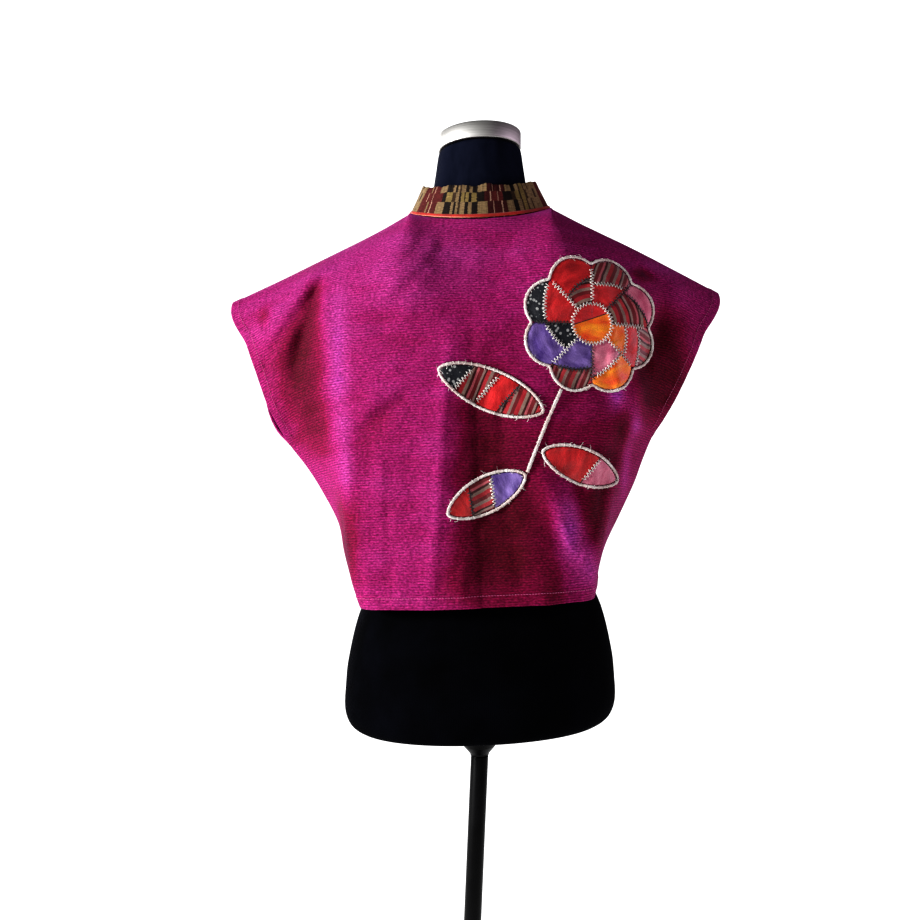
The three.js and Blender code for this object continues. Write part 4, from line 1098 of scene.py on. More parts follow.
def scrap_cloth(name, first, *joined):
    """Finish of a patch pieced from scraps, each join slanted across it."""
    material, tree, shader = start_material(name)
    across, along = flat_lengths(tree)
    fine = threads(tree, across, along, (700, 900), 2)
    soft = threads(tree, across, along, (30, 80), 3)
    slanted = arithmetic(tree, "MULTIPLY_ADD", across, -JOIN_SLANT, along)
    colour = scrap_colour(tree, first, across, along, soft)
    seam = None
    for kind, join in joined:
        past = arithmetic(tree, "GREATER_THAN", slanted, join * MM)
        turned = (along, across) if kind == "stripe" and first != "stripe" else (across, along)
        colour = blend_colours(tree, past, colour, scrap_colour(tree, kind, *turned, soft))
        near = arithmetic(tree, "LESS_THAN", arithmetic(tree, "ABSOLUTE", arithmetic(
            tree, "SUBTRACT", slanted, join * MM)), 0.0006)
        seam = near if seam is None else arithmetic(tree, "MAXIMUM", seam, near)
    colour = shaded(tree, 0.5, colour, fine, [(0.35, (0.6, 0.6, 0.6)), (0.65, (1.3, 1.3, 1.3))])
    relief = arithmetic(tree, "MULTIPLY_ADD", soft, 4.0, fine)
    if seam is not None:
        colour = blend_colours(tree, seam, colour, (0.02, 0.008, 0.012, 1))
        relief = arithmetic(tree, "SUBTRACT", relief, seam)
    satin = first in PLAIN_SCRAPS
    finish_surface(tree, shader, colour, relief, 0.6, 0.0007, {
        "Roughness": 0.42 if satin else 0.7,
        "Specular IOR Level": 0.5 if satin else 0.25,
        "Anisotropic": 0.4 if satin else 0.0,
        "Sheen Weight": 0.1,
    })
    return material


EDGE_SHARES = np.concatenate([[0, 0.012, 0.035, 0.07], np.linspace(0.11, 0.89, 25), [0.93, 0.965, 0.988, 1]])


def lay_patch(name, x, z, edge, flat_u, flat_v, pieced, node_name, seed):
    """A patch on the back from a grid of places; edge is the distance from its cut edge."""
    points, normals = on_back(x, z)
    rise = SEAM_GAP + MOTIF_THICK * (0.35 + 0.65 * np.sqrt(np.clip(edge / 1.6, 0, 1)))
    pucker = PUCKER * np.sin(flat_v / 5.2 + 2.2 * np.sin(flat_u / 9 + seed) + seed)
    pucker = pucker + PUCKER_FINE * np.sin(flat_v / 2.3 + 1.7 * np.sin(flat_u / 5 - seed) + 2 * seed)
    for kind, join in pieced[1:]:
        pucker = pucker - JOIN_DIP * np.exp(-((flat_v - JOIN_SLANT * flat_u - join) / 1.5) ** 2)
    rise = np.maximum(rise + pucker * np.clip(edge / 5, 0, 1), 2 * SEAM_GAP)
    mesh = close_shell(name, points + normals * SEAM_GAP, points + normals * rise[..., None], flat_u, flat_v)
    turn_outward(mesh, merge=1e-6)
    patch = add_piece(name, mesh, scrap_cloth(name + "_cloth", *pieced), [node_name])


for number in range(BLADES):
    out_share, turn_share = np.meshgrid(EDGE_SHARES, EDGE_SHARES)
    inner_radius = ROSETTE_CORE + CORD_CLEAR
    radius = mix(inner_radius, blade_radius(turn_share), out_share)
    width = 2 * math.pi / BLADES
    trim = BLADE_TRIM / radius
    angle = width * number + mix(trim, width - trim, turn_share)
    x, z = rosette_place(radius, angle)
    from_side = radius * width * np.minimum(turn_share, 1 - turn_share)
    from_end = np.minimum(radius - inner_radius, blade_radius(turn_share) - radius)
    lay_patch(f"rosette_patch_{number + 1}", x, z, np.minimum(from_side, from_end),
              radius * width * (turn_share - 0.5), radius, BLADE_SCRAPS[number],
              f"rosette_blade_{number + 1}", seed=number)

disc_steps = EDGE_SHARES[:DISC_RINGS] / EDGE_SHARES[DISC_RINGS - 1]
rim_share, turn_share = np.meshgrid(1 - disc_steps, np.linspace(0, 1, DISC_AROUND + 1))
radius = ROSETTE_CORE * rim_share
x, z = rosette_place(radius, 2 * math.pi * turn_share)
lay_patch("rosette_disc", x, z, ROSETTE_CORE - radius, x - ROSETTE_X, z - ROSETTE_Z,
          ("orange", ("red", 6)), "rosette_centre", seed=4.2)


def leaf_frame(leaf):
    x1, z1, x2, z2, width = leaf
    length = math.hypot(x2 - x1, z2 - z1)
    return (x1 + x2) / 2, (z1 + z2) / 2, (x2 - x1) / length, (z2 - z1) / length, length, width


def leaf_point(leaf, along, across):
    mid_x, mid_z, dir_x, dir_z = leaf_frame(leaf)[:4]
    return mid_x + along * dir_x - across * dir_z, mid_z + along * dir_z + across * dir_x


for number, leaf in enumerate(LEAVES):
    length, width = leaf_frame(leaf)[4:]
    tip_share, side_share = np.meshgrid(mix(0.03, 0.97, EDGE_SHARES), EDGE_SHARES)
    along = -np.cos(math.pi * tip_share) * length / 2
    half = width / 2 * np.sin(math.pi * tip_share) ** LEAF_POINT
    across = (2 * side_share - 1) * half
    x, z = leaf_point(leaf, along, across)
    edge = half - np.abs(across)
    lay_patch(f"leaf_patch_{number + 1}", x, z, edge, across, along, LEAF_SCRAPS[number],
              f"leaf_{number + 1}", seed=7 + number)

# ------------------------------------------------------------------ couched cord
# Off-white two-ply cotton cord laid around every patch and along the stem,
# caught down by small slanted stitches of fine thread.
CORD_THICK = 2.6
CORD_WIDTH = 3.6
STEM_WIDTH = 5
STEM = [(92, 1030), (77, 996), (63, 962), (53, 936), (48, 922)]
CORD_SIDES = 10
CORD_STEP = 1.1
CORD_LAY = 7.5
STEM_CORD_WIDTH = 0.86 * STEM_WIDTH
COUCH_PITCH = 6.5
STEM_COUCH_PITCH = 6
COUCH_SLANT = 1.2
COUCH_BESIDE = 0.25
COUCH_OVER = 0.2
COUCH_ARCH = 1.9
COUCH_SINK = 0.1
COUCH_THREAD = 0.32
COUCH_STEPS = 7
COUCH_SIDES = 4


def cord_cotton():
    material, tree, shader = start_material("cord_cotton")
    place = node(tree, "ShaderNodeTexCoord").outputs["Object"]
    fuzz = even_noise(tree, place, 900, 3)
    stain = even_noise(tree, place, 60, 2)
    colour = ramp(tree, fuzz, [(0.32, (0.36, 0.31, 0.30)), (0.55, (0.8, 0.76, 0.73))])
    colour = shaded(tree, 1.0, colour, stain, [(0.4, (0.78, 0.66, 0.64)), (0.62, (1, 1, 1))])
    finish_surface(tree, shader, colour, fuzz, 0.7, 0.0005, {
        "Roughness": 0.85,
        "Sheen Weight": 0.25,
    })
    return material


def leaf_outline(leaf, grow, count):
    """Pointed outline round a leaf, moved out by grow."""
    length, width = leaf_frame(leaf)[4:]
    angle = np.linspace(0, 2 * math.pi, count + 1)[:-1]
    along = -np.cos(angle) * (length / 2 + LEAF_TIP_GROW * grow)
    across = np.sign(np.sin(angle)) * (width / 2 + grow) * np.abs(np.sin(angle)) ** LEAF_POINT
    return leaf_point(leaf, along, across)


def smooth_line(points, closed, passes):
    for _ in range(passes):
        before = np.roll(points, 1, axis=0)
        after = np.roll(points, -1, axis=0)
        moved = (before + 2 * points + after) / 4
        if not closed:
            moved[0] = points[0]
            moved[-1] = points[-1]
        points = moved
    return points


def lay_cord(name, x, z, closed, width, node_name, seed):
    """A twisted cord that follows a line on the back. Returns its centres, normals and tangents."""
    line = np.stack([x, z], -1)
    if closed:
        line = np.concatenate([line, line[:1]])
    run = lengths_along(line, 0)
    count = int(run[-1] / CORD_STEP)
    stops = np.linspace(0, run[-1], count + 1)
    if closed:
        stops = stops[:-1]
    flat = np.stack([np.interp(stops, run, line[:, k]) for k in range(2)], -1)
    rng = np.random.default_rng(seed)
    points, normals = on_back(flat[:, 0], flat[:, 1])
    normals = unit(smooth_line(normals, closed, 6))
    centres = smooth_line(points + normals * (SEAM_GAP + CORD_THICK / 2), closed, 3)
    if closed:
        tangents = unit(np.roll(centres, -1, axis=0) - np.roll(centres, 1, axis=0))
    else:
        tangents = unit(np.gradient(centres, axis=0))
    sides = unit(np.cross(tangents, normals))
    lumps = 1 + 0.05 * smooth_line(rng.normal(0, 1, (len(flat), 1)), closed, 2)[:, 0]
    rings = []
    twists = round(run[-1] / CORD_LAY)
    for k in range(CORD_SIDES):
        angle = 2 * math.pi * k / CORD_SIDES
        ply = 1 - 0.2 * np.abs(np.sin(angle - math.pi * twists * stops / run[-1]))
        wide = width / 2 * ply * lumps * math.cos(angle)
        high = CORD_THICK / 2 * ply * lumps * math.sin(angle)
        rings.append(centres + sides * wide[:, None] + normals * high[:, None])
    grid = np.stack(rings, 1)
    mesh = outward_mesh(name, grid.reshape(-1, 3), tube_faces(0, len(grid), CORD_SIDES, closed))
    add_piece(name, mesh, cord_material, [node_name])
    return centres, normals, tangents


def couch(name, centres, normals, tangents, width, pitch, seed):
    """Slanted loops of fine thread over a cord."""
    rng = random.Random(seed)
    points = []
    faces = []
    step = max(1, round(pitch / CORD_STEP))
    place = rng.randrange(step)
    while place < len(centres) - 1:
        centre, normal, tangent = centres[place], normals[place], tangents[place]
        side = np.cross(tangent, normal)
        slant = rng.uniform(-COUCH_SLANT, COUCH_SLANT)
        faces += tube_faces(len(points), COUCH_STEPS, COUCH_SIDES)
        for k in range(COUCH_STEPS):
            angle = math.pi * k / (COUCH_STEPS - 1)
            high = (CORD_THICK / 2 + COUCH_OVER) * math.sin(angle) * COUCH_ARCH - CORD_THICK / 2 - COUCH_SINK
            spot = (centre + side * math.cos(angle) * (width / 2 + COUCH_BESIDE)
                    + tangent * slant * math.cos(angle) + normal * high)
            along = unit(-side * math.sin(angle) - tangent * slant * math.sin(angle)
                         + normal * math.cos(angle))
            out = unit(side * math.cos(angle) + normal * math.sin(angle))
            points += ring_of(spot, COUCH_THREAD, out, np.cross(along, out), COUCH_SIDES)
        place += max(2, round(step * rng.uniform(0.7, 1.4)))
    add_piece(name, outward_mesh(name, points, faces), couching_thread)


cord_material = cord_cotton()
couching_thread = sewing_thread("couching_thread", (0.74, 0.7, 0.66))
middle_grow = CORD_CLEAR + CORD_WIDTH / 2
share = np.linspace(0, BLADES, 801)[:-1]
radius = blade_radius(share % 1) + middle_grow
outline = np.stack(rosette_place(radius, 2 * math.pi * share / BLADES), -1)
outline = smooth_line(outline, True, 12)
cord = lay_cord("rosette_cord_line", outline[:, 0], outline[:, 1], True, CORD_WIDTH,
                "rosette_cord", seed=11)
couch("rosette_couching", *cord, CORD_WIDTH, COUCH_PITCH, seed=21)
for number, leaf in enumerate(LEAVES):
    x, z = leaf_outline(leaf, middle_grow, 360)
    cord = lay_cord(f"leaf_cord_line_{number + 1}", x, z, True, CORD_WIDTH,
                    f"leaf_{number + 1}_cord", seed=12 + number)
    couch(f"leaf_couching_{number + 1}", *cord, CORD_WIDTH, COUCH_PITCH, seed=22 + number)

# the stem keeps the stretch that lies clear of the other cords
stem_run = np.linspace(0, len(STEM) - 1, 200)
stem_x = curve_through(range(len(STEM)), [p[0] for p in STEM], stem_run)
stem_z = curve_through(range(len(STEM)), [p[1] for p in STEM], stem_run)
cord_reach = 2 * CORD_CLEAR + CORD_WIDTH
free = np.hypot(stem_x - ROSETTE_X, stem_z - ROSETTE_Z) > ROSETTE_POINT + cord_reach + 1
for leaf in LEAVES:
    mid_x, mid_z, dir_x, dir_z, length, width = leaf_frame(leaf)
    along = (stem_x - mid_x) * dir_x + (stem_z - mid_z) * dir_z
    across = -(stem_x - mid_x) * dir_z + (stem_z - mid_z) * dir_x
    tip = np.clip(along / (length / 2 + LEAF_TIP_GROW * cord_reach), -1, 1)
    half = (width / 2 + cord_reach) * (1 - tip ** 2) ** (LEAF_POINT / 2)
    free = free & ((np.abs(across) > half + STEM_WIDTH / 2) | (np.abs(tip) >= 1))
free_places = np.nonzero(free)[0]
pieces_of_stem = np.split(free_places, np.nonzero(np.diff(free_places) > 1)[0] + 1)
longest = max(pieces_of_stem, key=len)
cord = lay_cord("stem_cord_line", stem_x[longest], stem_z[longest], False, STEM_CORD_WIDTH,
                "stem_cord", seed=17)
couch("stem_couching", *cord, STEM_CORD_WIDTH, STEM_COUCH_PITCH, seed=27)

# ------------------------------------------------------------------ zigzag stitching
# Cream and black machine zigzag over every join between the scraps, and the
# cut ends of thread that stick out round them.
ZIGZAG_WIDTH = 5.4
ZIGZAG_PITCH = 4
ZIGZAG_THREAD = 0.4
ZIGZAG_SIDES = 4
ZIGZAG_BOW = 0.25
LOOSE_THREAD = 0.24
LOOSE_STEPS = 5
LOOSE_SIDES = 3
LOOSE_BOW = 1.5


def zigzag(name, lines, material, seed):
    """Pointed stitches of thread along lines on the patches."""
    rng = random.Random(seed)
    rise = SEAM_GAP + MOTIF_THICK + ZIGZAG_THREAD
    points = []
    faces = []
    for x, z in lines:
        spots, normals = on_back(np.array(x, float), np.array(z, float))
        spots, normals, directions = evenly(spots, normals, ZIGZAG_PITCH / 2)
        corners = []
        for k, (spot, normal, direction) in enumerate(zip(spots, normals, directions)):
            across = np.cross(direction, normal)
            reach = ZIGZAG_WIDTH / 2 * rng.uniform(0.7, 1.15) * (1 if k % 2 else -1)
            corners.append((spot + across * reach + normal * rise, normal))
        for (start, normal), (end, _) in zip(corners, corners[1:]):
            direction = unit(end - start)
            across = np.cross(direction, normal)
            faces += tube_faces(len(points), 3, ZIGZAG_SIDES)
            for spot in (start, (start + end) / 2 + normal * ZIGZAG_BOW, end):
                points += ring_of(spot, ZIGZAG_THREAD, across, normal, ZIGZAG_SIDES)
    add_piece(name, outward_mesh(name, points, faces), material)


def rosette_spoke(number):
    angle = 2 * math.pi * number / BLADES
    reach = np.linspace(ROSETTE_CORE + 3, ROSETTE_VALLEY - 2, 30)
    return rosette_place(reach, angle)


def blade_join(number, join):
    """Line of a join across a blade."""
    width = 2 * math.pi / BLADES
    off_middle = np.linspace(-0.42, 0.42, 24) * width
    radius = join / (1 - JOIN_SLANT * off_middle)
    angle = width * (number + 0.5) + off_middle
    return rosette_place(radius, angle)


def leaf_join(leaf, join):
    length, width = leaf_frame(leaf)[4:]
    half = width / 2 * max(0, 1 - (2 * join / length) ** 2) ** (LEAF_POINT / 2)
    across = np.linspace(-0.84, 0.84, 20) * half
    return leaf_point(leaf, join + JOIN_SLANT * across, across)


black_thread = sewing_thread("black_thread", (0.03, 0.025, 0.03))
cream_lines = [rosette_spoke(k) for k in (0, 2, 3, 5, 7)]
cream_lines.append(rosette_place(ROSETTE_CORE + 0.2, np.linspace(0, 2 * math.pi, 90)))
black_lines = [rosette_spoke(k) for k in (1, 4, 6)]
for number, pieced in enumerate(BLADE_SCRAPS):
    for kind, join in pieced[1:]:
        (black_lines if number % 3 == 1 else cream_lines).append(blade_join(number, join))
for number, pieced in enumerate(LEAF_SCRAPS):
    for kind, join in pieced[1:]:
        (black_lines if kind == "red" else cream_lines).append(leaf_join(LEAVES[number], join))
zigzag("zigzag_cream", cream_lines, couching_thread, seed=31)
zigzag("zigzag_black", black_lines, black_thread, seed=32)


def loose_ends(name, outlines, count, longest, material, seed):
    """Cut ends of thread that stick out past the cord and lie on the cloth."""
    rng = np.random.default_rng(seed)
    points = []
    faces = []
    for line_x, line_z in outlines:
        picked = rng.integers(0, len(line_x), count)
        angle = rng.uniform(0, 2 * math.pi, count)[:, None]
        bend = rng.uniform(-1.6, 1.6, count)[:, None]
        length = rng.uniform(0.4, 1, count)[:, None] * longest
        share = np.linspace(0, 1, LOOSE_STEPS)[None]
        x = line_x[picked][:, None] + length * share * np.cos(angle + bend * share)
        z = line_z[picked][:, None] + length * share * np.sin(angle + bend * share)
        spots, normals = on_back(x, z)
        rise = SEAM_GAP + LOOSE_THREAD + LOOSE_BOW * np.sin(math.pi * share)
        spots = spots + normals * rise[..., None]
        for line, line_normals in zip(spots, normals):
            directions = unit(np.gradient(line, axis=0))
            faces += tube_faces(len(points), LOOSE_STEPS, LOOSE_SIDES)
            for spot, normal, direction in zip(line, line_normals, directions):
                points += ring_of(spot, LOOSE_THREAD, np.cross(direction, normal), normal, LOOSE_SIDES)
    add_piece(name, outward_mesh(name, points, faces, smooth=False), material)


cord_paths = [(outline[:, 0], outline[:, 1])]
cord_paths += [leaf_outline(leaf, middle_grow, 180) for leaf in LEAVES]
loose_ends("loose_ends_cream", cord_paths, count=34, longest=7, material=couching_thread, seed=41)
loose_ends("loose_ends_black", cord_paths, count=16, longest=5, material=black_thread, seed=42)

# ------------------------------------------------------------------ dress form
# A limbless body of padded fibreglass under black cotton jersey, round at
# the bottom edge and drawn smooth up to the neck.
FORM_Z = (615, 618, 626, 642, 670, 700, 754, 800, 854, 910, 964, 1014, 1060, 1110, 1155, 1182, 1196, 1207,
          1222.9, 1237, 1248.5, 1258, 1284, 1312, 1329, 1333, 1335)
FORM = {
    "half": (146, 156, 164.5, 169.5, 168.5, 165.5, 153, 133.5, 117, 122, 133, 142, 148, 158, 170, 176, 173,
             163, 138.5, 104, 79, 65, 59.5, 55, 52.5, 50.5, 46),
    "back": (103, 111, 118, 121, 122, 121, 114, 98, 80, 86, 98, 106, 110, 109, 98, 87, 79, 72, 66, 61, 58, 57,
             56, 54, 52, 50, 46),
    "front": (96, 103, 109, 112, 112, 110, 105, 98, 92, 100, 118, 131, 124, 108, 88, 75, 68, 62, 58, 56, 55,
              55, 55, 54, 52, 50, 46),
    "square": (2.2, 2.2, 2.2, 2.2, 2.2, 2.2, 2.2, 2.2, 2.2, 2.2, 2.2, 2.2, 2.3, 2.4, 2.4, 2.3, 2.2, 2.1, 2, 2,
               2, 2, 2, 2, 2, 2, 2),
}
FORM_AROUND = 144
WALE_PITCH = 1.4
JERSEY_RADIUS = 130
# rows of the body's mesh: from, to, how many
FORM_ROWS = ((615, 642, 12), (642, 1180, 80), (1180, 1260, 44), (1260, 1329, 12), (1329, 1335, 8))


def black_jersey():
    """Fine black knit: upright wales with a faint grain, hardly any shine, and a painted navy sheen on the
    neck.
    """
    material, tree, shader = start_material("black_jersey")
    across, along = flat_lengths(tree)
    wales = arithmetic(tree, "SINE", arithmetic(tree, "MULTIPLY", across, 2 * math.pi / (WALE_PITCH * MM)))
    grain = threads(tree, across, along, (500, 700), 2)
    dust = threads(tree, across, along, (22, 16), 4)
    colour = ramp(tree, dust, [(0.35, (0.0012, 0.0013, 0.002)), (0.75, (0.003, 0.0032, 0.0055))])
    # the neck is painted a lighter navy: a painted sheen
    at_neck = ramp(tree, arithmetic(tree, "MULTIPLY_ADD", along, 2.0, -2.0), [
        (0.4, (0, 0, 0)), (0.5, (1, 1, 1))])
    painted_neck_sheen = ramp(tree, dust, [(0.35, (0.006, 0.0075, 0.016)), (0.75, (0.012, 0.014, 0.028))])
    colour = blend_colours(tree, at_neck, colour, painted_neck_sheen)
    relief = arithmetic(tree, "MULTIPLY_ADD", wales, 0.3, grain)
    finish_surface(tree, shader, colour, relief, 0.35, 0.0004, {
        "Roughness": 0.9,
        "Specular IOR Level": 0.03,
    })
    return material


form_z = np.unique(np.concatenate([np.linspace(*rows) for rows in FORM_ROWS]))
form_turn = np.linspace(0, 2 * math.pi, FORM_AROUND + 1)[:-1]
turn_grid, z_grid = np.meshgrid(form_turn, form_z)
form_at = {name: curve_through(FORM_Z, values, z_grid) for name, values in FORM.items()}
depth = np.where(np.sin(turn_grid) < 0, form_at["back"], form_at["front"])
roundness = 2 / form_at["square"]
form_x = form_at["half"] * np.sign(np.cos(turn_grid)) * np.abs(np.cos(turn_grid)) ** roundness
form_y = depth * np.sign(np.sin(turn_grid)) * np.abs(np.sin(turn_grid)) ** roundness
form_points = np.stack([form_x, form_y, z_grid + SLANT * form_x], -1).reshape(-1, 3)
form_mesh = outward_mesh("form_jersey_body", form_points, tube_faces(0, len(form_z), FORM_AROUND))
set_flat(form_mesh, np.stack([turn_grid * JERSEY_RADIUS * MM, z_grid * MM], -1).reshape(-1, 2))
add_piece("form_jersey_body", form_mesh, black_jersey(), ["form_body"])

# ------------------------------------------------------------------ neck cap
# A turned disc of brushed steel with a raised rim. It closes the neck of the
# form and follows the form's slight slant.
CAP_RADIUS = 52
CAP_HEIGHT = 20
CAP_RIM = 7
CAP_STEP = 1.2
CAP_DIP = 0.6
FORM_TOP_Z = 1335


def brushed_steel():
    material, tree, shader = start_material("brushed_steel")
    place = node(tree, "ShaderNodeTexCoord").outputs["Object"]
    ring = node(tree, "ShaderNodeMapping", {"Vector": place, "Scale": (12, 12, 1500)})
    brush = even_noise(tree, ring.outputs[0], 1, 3)
    colour = ramp(tree, brush, [(0.3, (0.34, 0.335, 0.32)), (0.7, (0.5, 0.49, 0.475))])
    finish_surface(tree, shader, colour, brush, 0.15, 0.0002, {
        "Metallic": 1,
        "Roughness": 0.55,
        "Anisotropic": 0.6,
    })
    return material


def select_faces(test):
    """Selects the faces of the mesh in edit mode whose centre and normal pass a test."""
    work = bmesh.from_edit_mesh(bpy.context.edit_object.data)
    for face in work.faces:
        face.select_set(bool(test(face.calc_center_median(), face.normal)))
    bmesh.update_edit_mesh(bpy.context.edit_object.data)


def start_turned(name, radius, depth, centre_z, sides=96):
    bpy.ops.object.select_all(action="DESELECT")
    bpy.ops.mesh.primitive_cylinder_add(vertices=sides, radius=radius * MM, depth=depth * MM,
                                        location=(0, 0, centre_z * MM))
    piece = bpy.context.object
    piece.name = name
    piece.data.name = name
    bpy.ops.object.transform_apply(location=True, rotation=True, scale=True)
    return piece


def edit_faces(test):
    """Enters edit mode with the faces that pass a test selected."""
    bpy.ops.object.mode_set(mode="EDIT")
    select_faces(test)


def slant_over(piece):
    """Gives a piece the slight slant of the form."""
    for vertex in piece.data.vertices:
        vertex.co.z += SLANT * vertex.co.x


def bevel_edges(piece, width, segments=3, angle=40):
    bevel = piece.modifiers.new("edge", "BEVEL")
    bevel.width = width * MM
    bevel.segments = segments
    bevel.limit_method = "ANGLE"
    bevel.angle_limit = math.radians(angle)
    bpy.context.view_layer.objects.active = piece
    bpy.ops.object.modifier_apply(modifier="edge")


def finish_hard(piece, material, node_name):
    bpy.ops.object.select_all(action="DESELECT")
    piece.select_set(True)
    bpy.context.view_layer.objects.active = piece
    bpy.ops.object.shade_smooth_by_angle(angle=math.radians(35))
    piece.data.materials.append(material)
    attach(piece, "root")
    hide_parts(node_name)


cap = start_turned("neck_cap_disc", CAP_RADIUS, CAP_HEIGHT, FORM_TOP_Z + SEAM_GAP + CAP_HEIGHT / 2)
edit_faces(lambda centre, normal: normal.z > 0.9)
bpy.ops.mesh.inset(thickness=CAP_RIM * MM, depth=0)
bpy.ops.mesh.inset(thickness=CAP_STEP * MM, depth=-CAP_DIP * MM)
bpy.ops.object.mode_set(mode="OBJECT")
bevel_edges(cap, 1.2)
slant_over(cap)
finish_hard(cap, brushed_steel(), "neck_cap")

# ------------------------------------------------------------------ stand
# A black painted steel tube, a little out of plumb, from a cone flange under
# the body down to a socket on a heavy round base.
POLE_RADIUS = 11
POLE_LEAN = math.radians(2.45)
FORM_BOTTOM_Z = 615
FLANGE_HEIGHT = 44
# rings of the cone: radius below, radius above, rise between them
FLANGE_RINGS = ((12, 20.5, 10), (20.5, 30, FLANGE_HEIGHT - 20), (30, 34, 8 - SEAM_GAP))
BASE_RADIUS = 150
BASE_THICK = 9
BASE_CROWN = 3
BASE_RINGS = 5
SOCKET_RADIUS = 19
SOCKET_FLOOR = 13.2
SOCKET_HEIGHT = 44
flange_foot = FORM_BOTTOM_Z - FLANGE_HEIGHT
base_x = -math.tan(POLE_LEAN) * flange_foot


def black_paint():
    """Black powder coat with an orange-peel skin and a few dusty rubs."""
    material, tree, shader = start_material("black_paint")
    place = node(tree, "ShaderNodeTexCoord").outputs["Object"]
    peel = even_noise(tree, place, 700, 2)
    rubs = even_noise(tree, place, 16, 5)
    colour = ramp(tree, rubs, [(0.4, (0.0018, 0.0018, 0.002)), (0.8, (0.007, 0.007, 0.0075))])
    gloss = ramp(tree, rubs, [(0.35, (0.32, 0.32, 0.32)), (0.75, (0.5, 0.5, 0.5))])
    tree.links.new(gloss, shader.inputs["Roughness"])
    finish_surface(tree, shader, colour, peel, 0.12, 0.0003, {
        "Specular IOR Level": 0.12,
    })
    return material


def lean_over(piece):
    """Turns a piece about the foot of the pole and moves it onto the base."""
    for vertex in piece.data.vertices:
        x, y, z = vertex.co
        vertex.co.x = x * math.cos(POLE_LEAN) + z * math.sin(POLE_LEAN) + base_x * MM
        vertex.co.z = -x * math.sin(POLE_LEAN) + z * math.cos(POLE_LEAN)


paint = black_paint()
base = start_turned("base_disc", BASE_RADIUS, BASE_THICK, BASE_THICK / 2, 128)
edit_faces(lambda centre, normal: normal.z > 0.9)
for _ in range(BASE_RINGS):
    bpy.ops.mesh.inset(thickness=(BASE_RADIUS - SOCKET_RADIUS - 8) / BASE_RINGS * MM,
                       depth=BASE_CROWN / BASE_RINGS * MM)
bpy.ops.object.mode_set(mode="OBJECT")
bevel_edges(base, 2.6, 4)
for vertex in base.data.vertices:
    vertex.co.x += base_x * MM
finish_hard(base, paint, "base_plate")

socket = start_turned("pole_socket_sleeve", SOCKET_RADIUS, SOCKET_HEIGHT - SOCKET_FLOOR,
                      (SOCKET_HEIGHT + SOCKET_FLOOR) / 2, 64)
edit_faces(lambda centre, normal: abs(normal.z) > 0.9)
bpy.ops.mesh.inset(thickness=(SOCKET_RADIUS - POLE_RADIUS - SEAM_GAP) * MM, depth=0)
bpy.ops.mesh.bridge_edge_loops()
bpy.ops.object.mode_set(mode="OBJECT")
bevel_edges(socket, 1.6)
lean_over(socket)
finish_hard(socket, paint, "pole_socket")

pole_top = flange_foot - 4 * SEAM_GAP
pole = start_turned("pole_tube", POLE_RADIUS, pole_top / math.cos(POLE_LEAN) - SOCKET_FLOOR,
                    (pole_top / math.cos(POLE_LEAN) + SOCKET_FLOOR) / 2, 64)
bevel_edges(pole, 0.5, 2)
lean_over(pole)
finish_hard(pole, paint, "pole")

flange = start_turned("flange_cone", POLE_RADIUS + 1, 2, flange_foot + 1, 64)
edit_faces(lambda centre, normal: normal.z > 0.9)
for radius_from, radius_to, rise in FLANGE_RINGS:
    bpy.ops.mesh.extrude_region_move(TRANSFORM_OT_translate={"value": (0, 0, rise * MM)})
    bpy.ops.transform.resize(value=(radius_to / radius_from, radius_to / radius_from, 1))
bpy.ops.object.mode_set(mode="OBJECT")
bevel_edges(flange, 0.8, 2, 12)
slant_over(flange)
finish_hard(flange, paint, "pole_flange")

# ------------------------------------------------------------------ studio
# A pale floor that turns to pure white away from the base, a white backdrop
# all round, and soft light that comes mainly from the left.
FLOOR_RADIUS = 4.0
DOME_RADIUS = 9.0
FLOOR_Z = -0.0005
WHITE_GLOW = 1.05


def white_backdrop():
    material = bpy.data.materials.new("white_backdrop")
    material.use_nodes = True
    tree = material.node_tree
    tree.nodes.clear()
    glow = node(tree, "ShaderNodeEmission", {"Color": (1, 1, 1, 1), "Strength": WHITE_GLOW})
    node(tree, "ShaderNodeOutputMaterial", {"Surface": glow.outputs[0]})
    return material


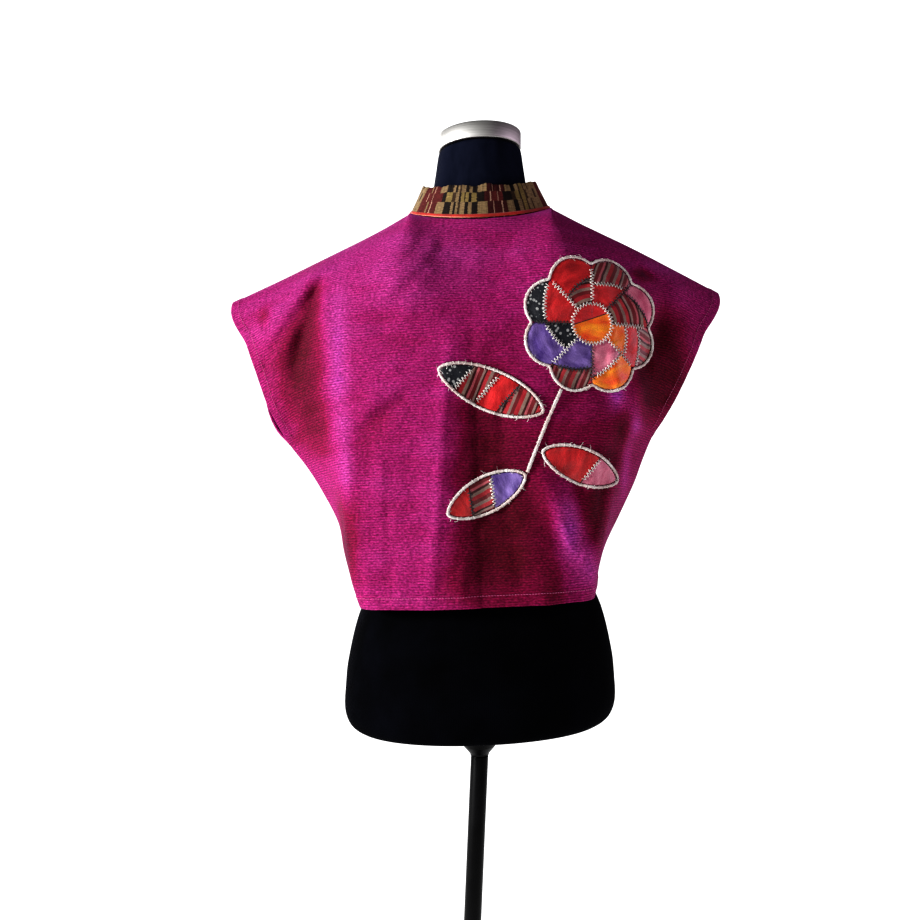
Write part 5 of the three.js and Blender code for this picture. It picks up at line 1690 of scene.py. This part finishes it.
def pale_floor():
    material, tree, shader = start_material("pale_floor")
    place = node(tree, "ShaderNodeTexCoord").outputs["Object"]
    reach = node(tree, "ShaderNodeVectorMath", {0: place}, operation="LENGTH").outputs["Value"]
    fade = ramp(tree, reach, [(0.24, (0, 0, 0)), (0.52, (1, 1, 1))])
    shader.inputs["Base Color"].default_value = (0.86, 0.86, 0.86, 1)
    shader.inputs["Roughness"].default_value = 0.7
    glow = node(tree, "ShaderNodeEmission", {"Color": (1, 1, 1, 1), "Strength": WHITE_GLOW})
    both = node(tree, "ShaderNodeMixShader", {0: fade, 1: shader.outputs[0], 2: glow.outputs[0]})
    tree.links.new(both.outputs[0], tree.nodes["Material Output"].inputs["Surface"])
    return material


def add_stage(name, material):
    piece = bpy.context.object
    piece.name = name
    piece.data.materials.append(material)
    piece.visible_shadow = False
    return piece


bpy.ops.object.select_all(action="DESELECT")
bpy.ops.mesh.primitive_circle_add(vertices=96, radius=FLOOR_RADIUS, fill_type="NGON",
                                  location=(0, 0, FLOOR_Z))
bpy.ops.object.transform_apply(location=True)
add_stage("floor", pale_floor())
bpy.ops.object.select_all(action="DESELECT")
bpy.ops.mesh.primitive_uv_sphere_add(segments=48, ring_count=24, radius=DOME_RADIUS)
dome = add_stage("backdrop", white_backdrop())
dome.visible_diffuse = False
dome.visible_glossy = False


def soft_light(name, place, aim, size, watts, colour=(1, 1, 1)):
    data = bpy.data.lights.new(name, "AREA")
    data.shape = "DISK"
    data.size = size
    data.energy = watts
    data.color = colour
    light = bpy.data.objects.new(name, data)
    light.location = place
    light.rotation_euler = (Vector(aim) - Vector(place)).to_track_quat("-Z", "Y").to_euler()
    scene.collection.objects.link(light)


garment = (0, 0, 1.02)
soft_light("key_left", (-2.5, -1.0, 1.5), garment, size=0.7, watts=108)
soft_light("fill_behind_camera", (-0.2, -2.6, 1.3), garment, size=1.6, watts=2.5)
soft_light("rim_right", (1.9, -0.1, 1.5), garment, size=0.9, watts=9, colour=(1, 0.8, 1))
soft_light("front_left", (-1.2, 2.1, 1.8), garment, size=1.4, watts=30)
world = bpy.data.worlds.new("room")
scene.world = world
world.use_nodes = True
world.node_tree.nodes["Background"].inputs["Color"].default_value = (1, 1, 1, 1)
world.node_tree.nodes["Background"].inputs["Strength"].default_value = 0.08
scene.view_settings.view_transform = "Standard"
scene.view_settings.look = "High Contrast"
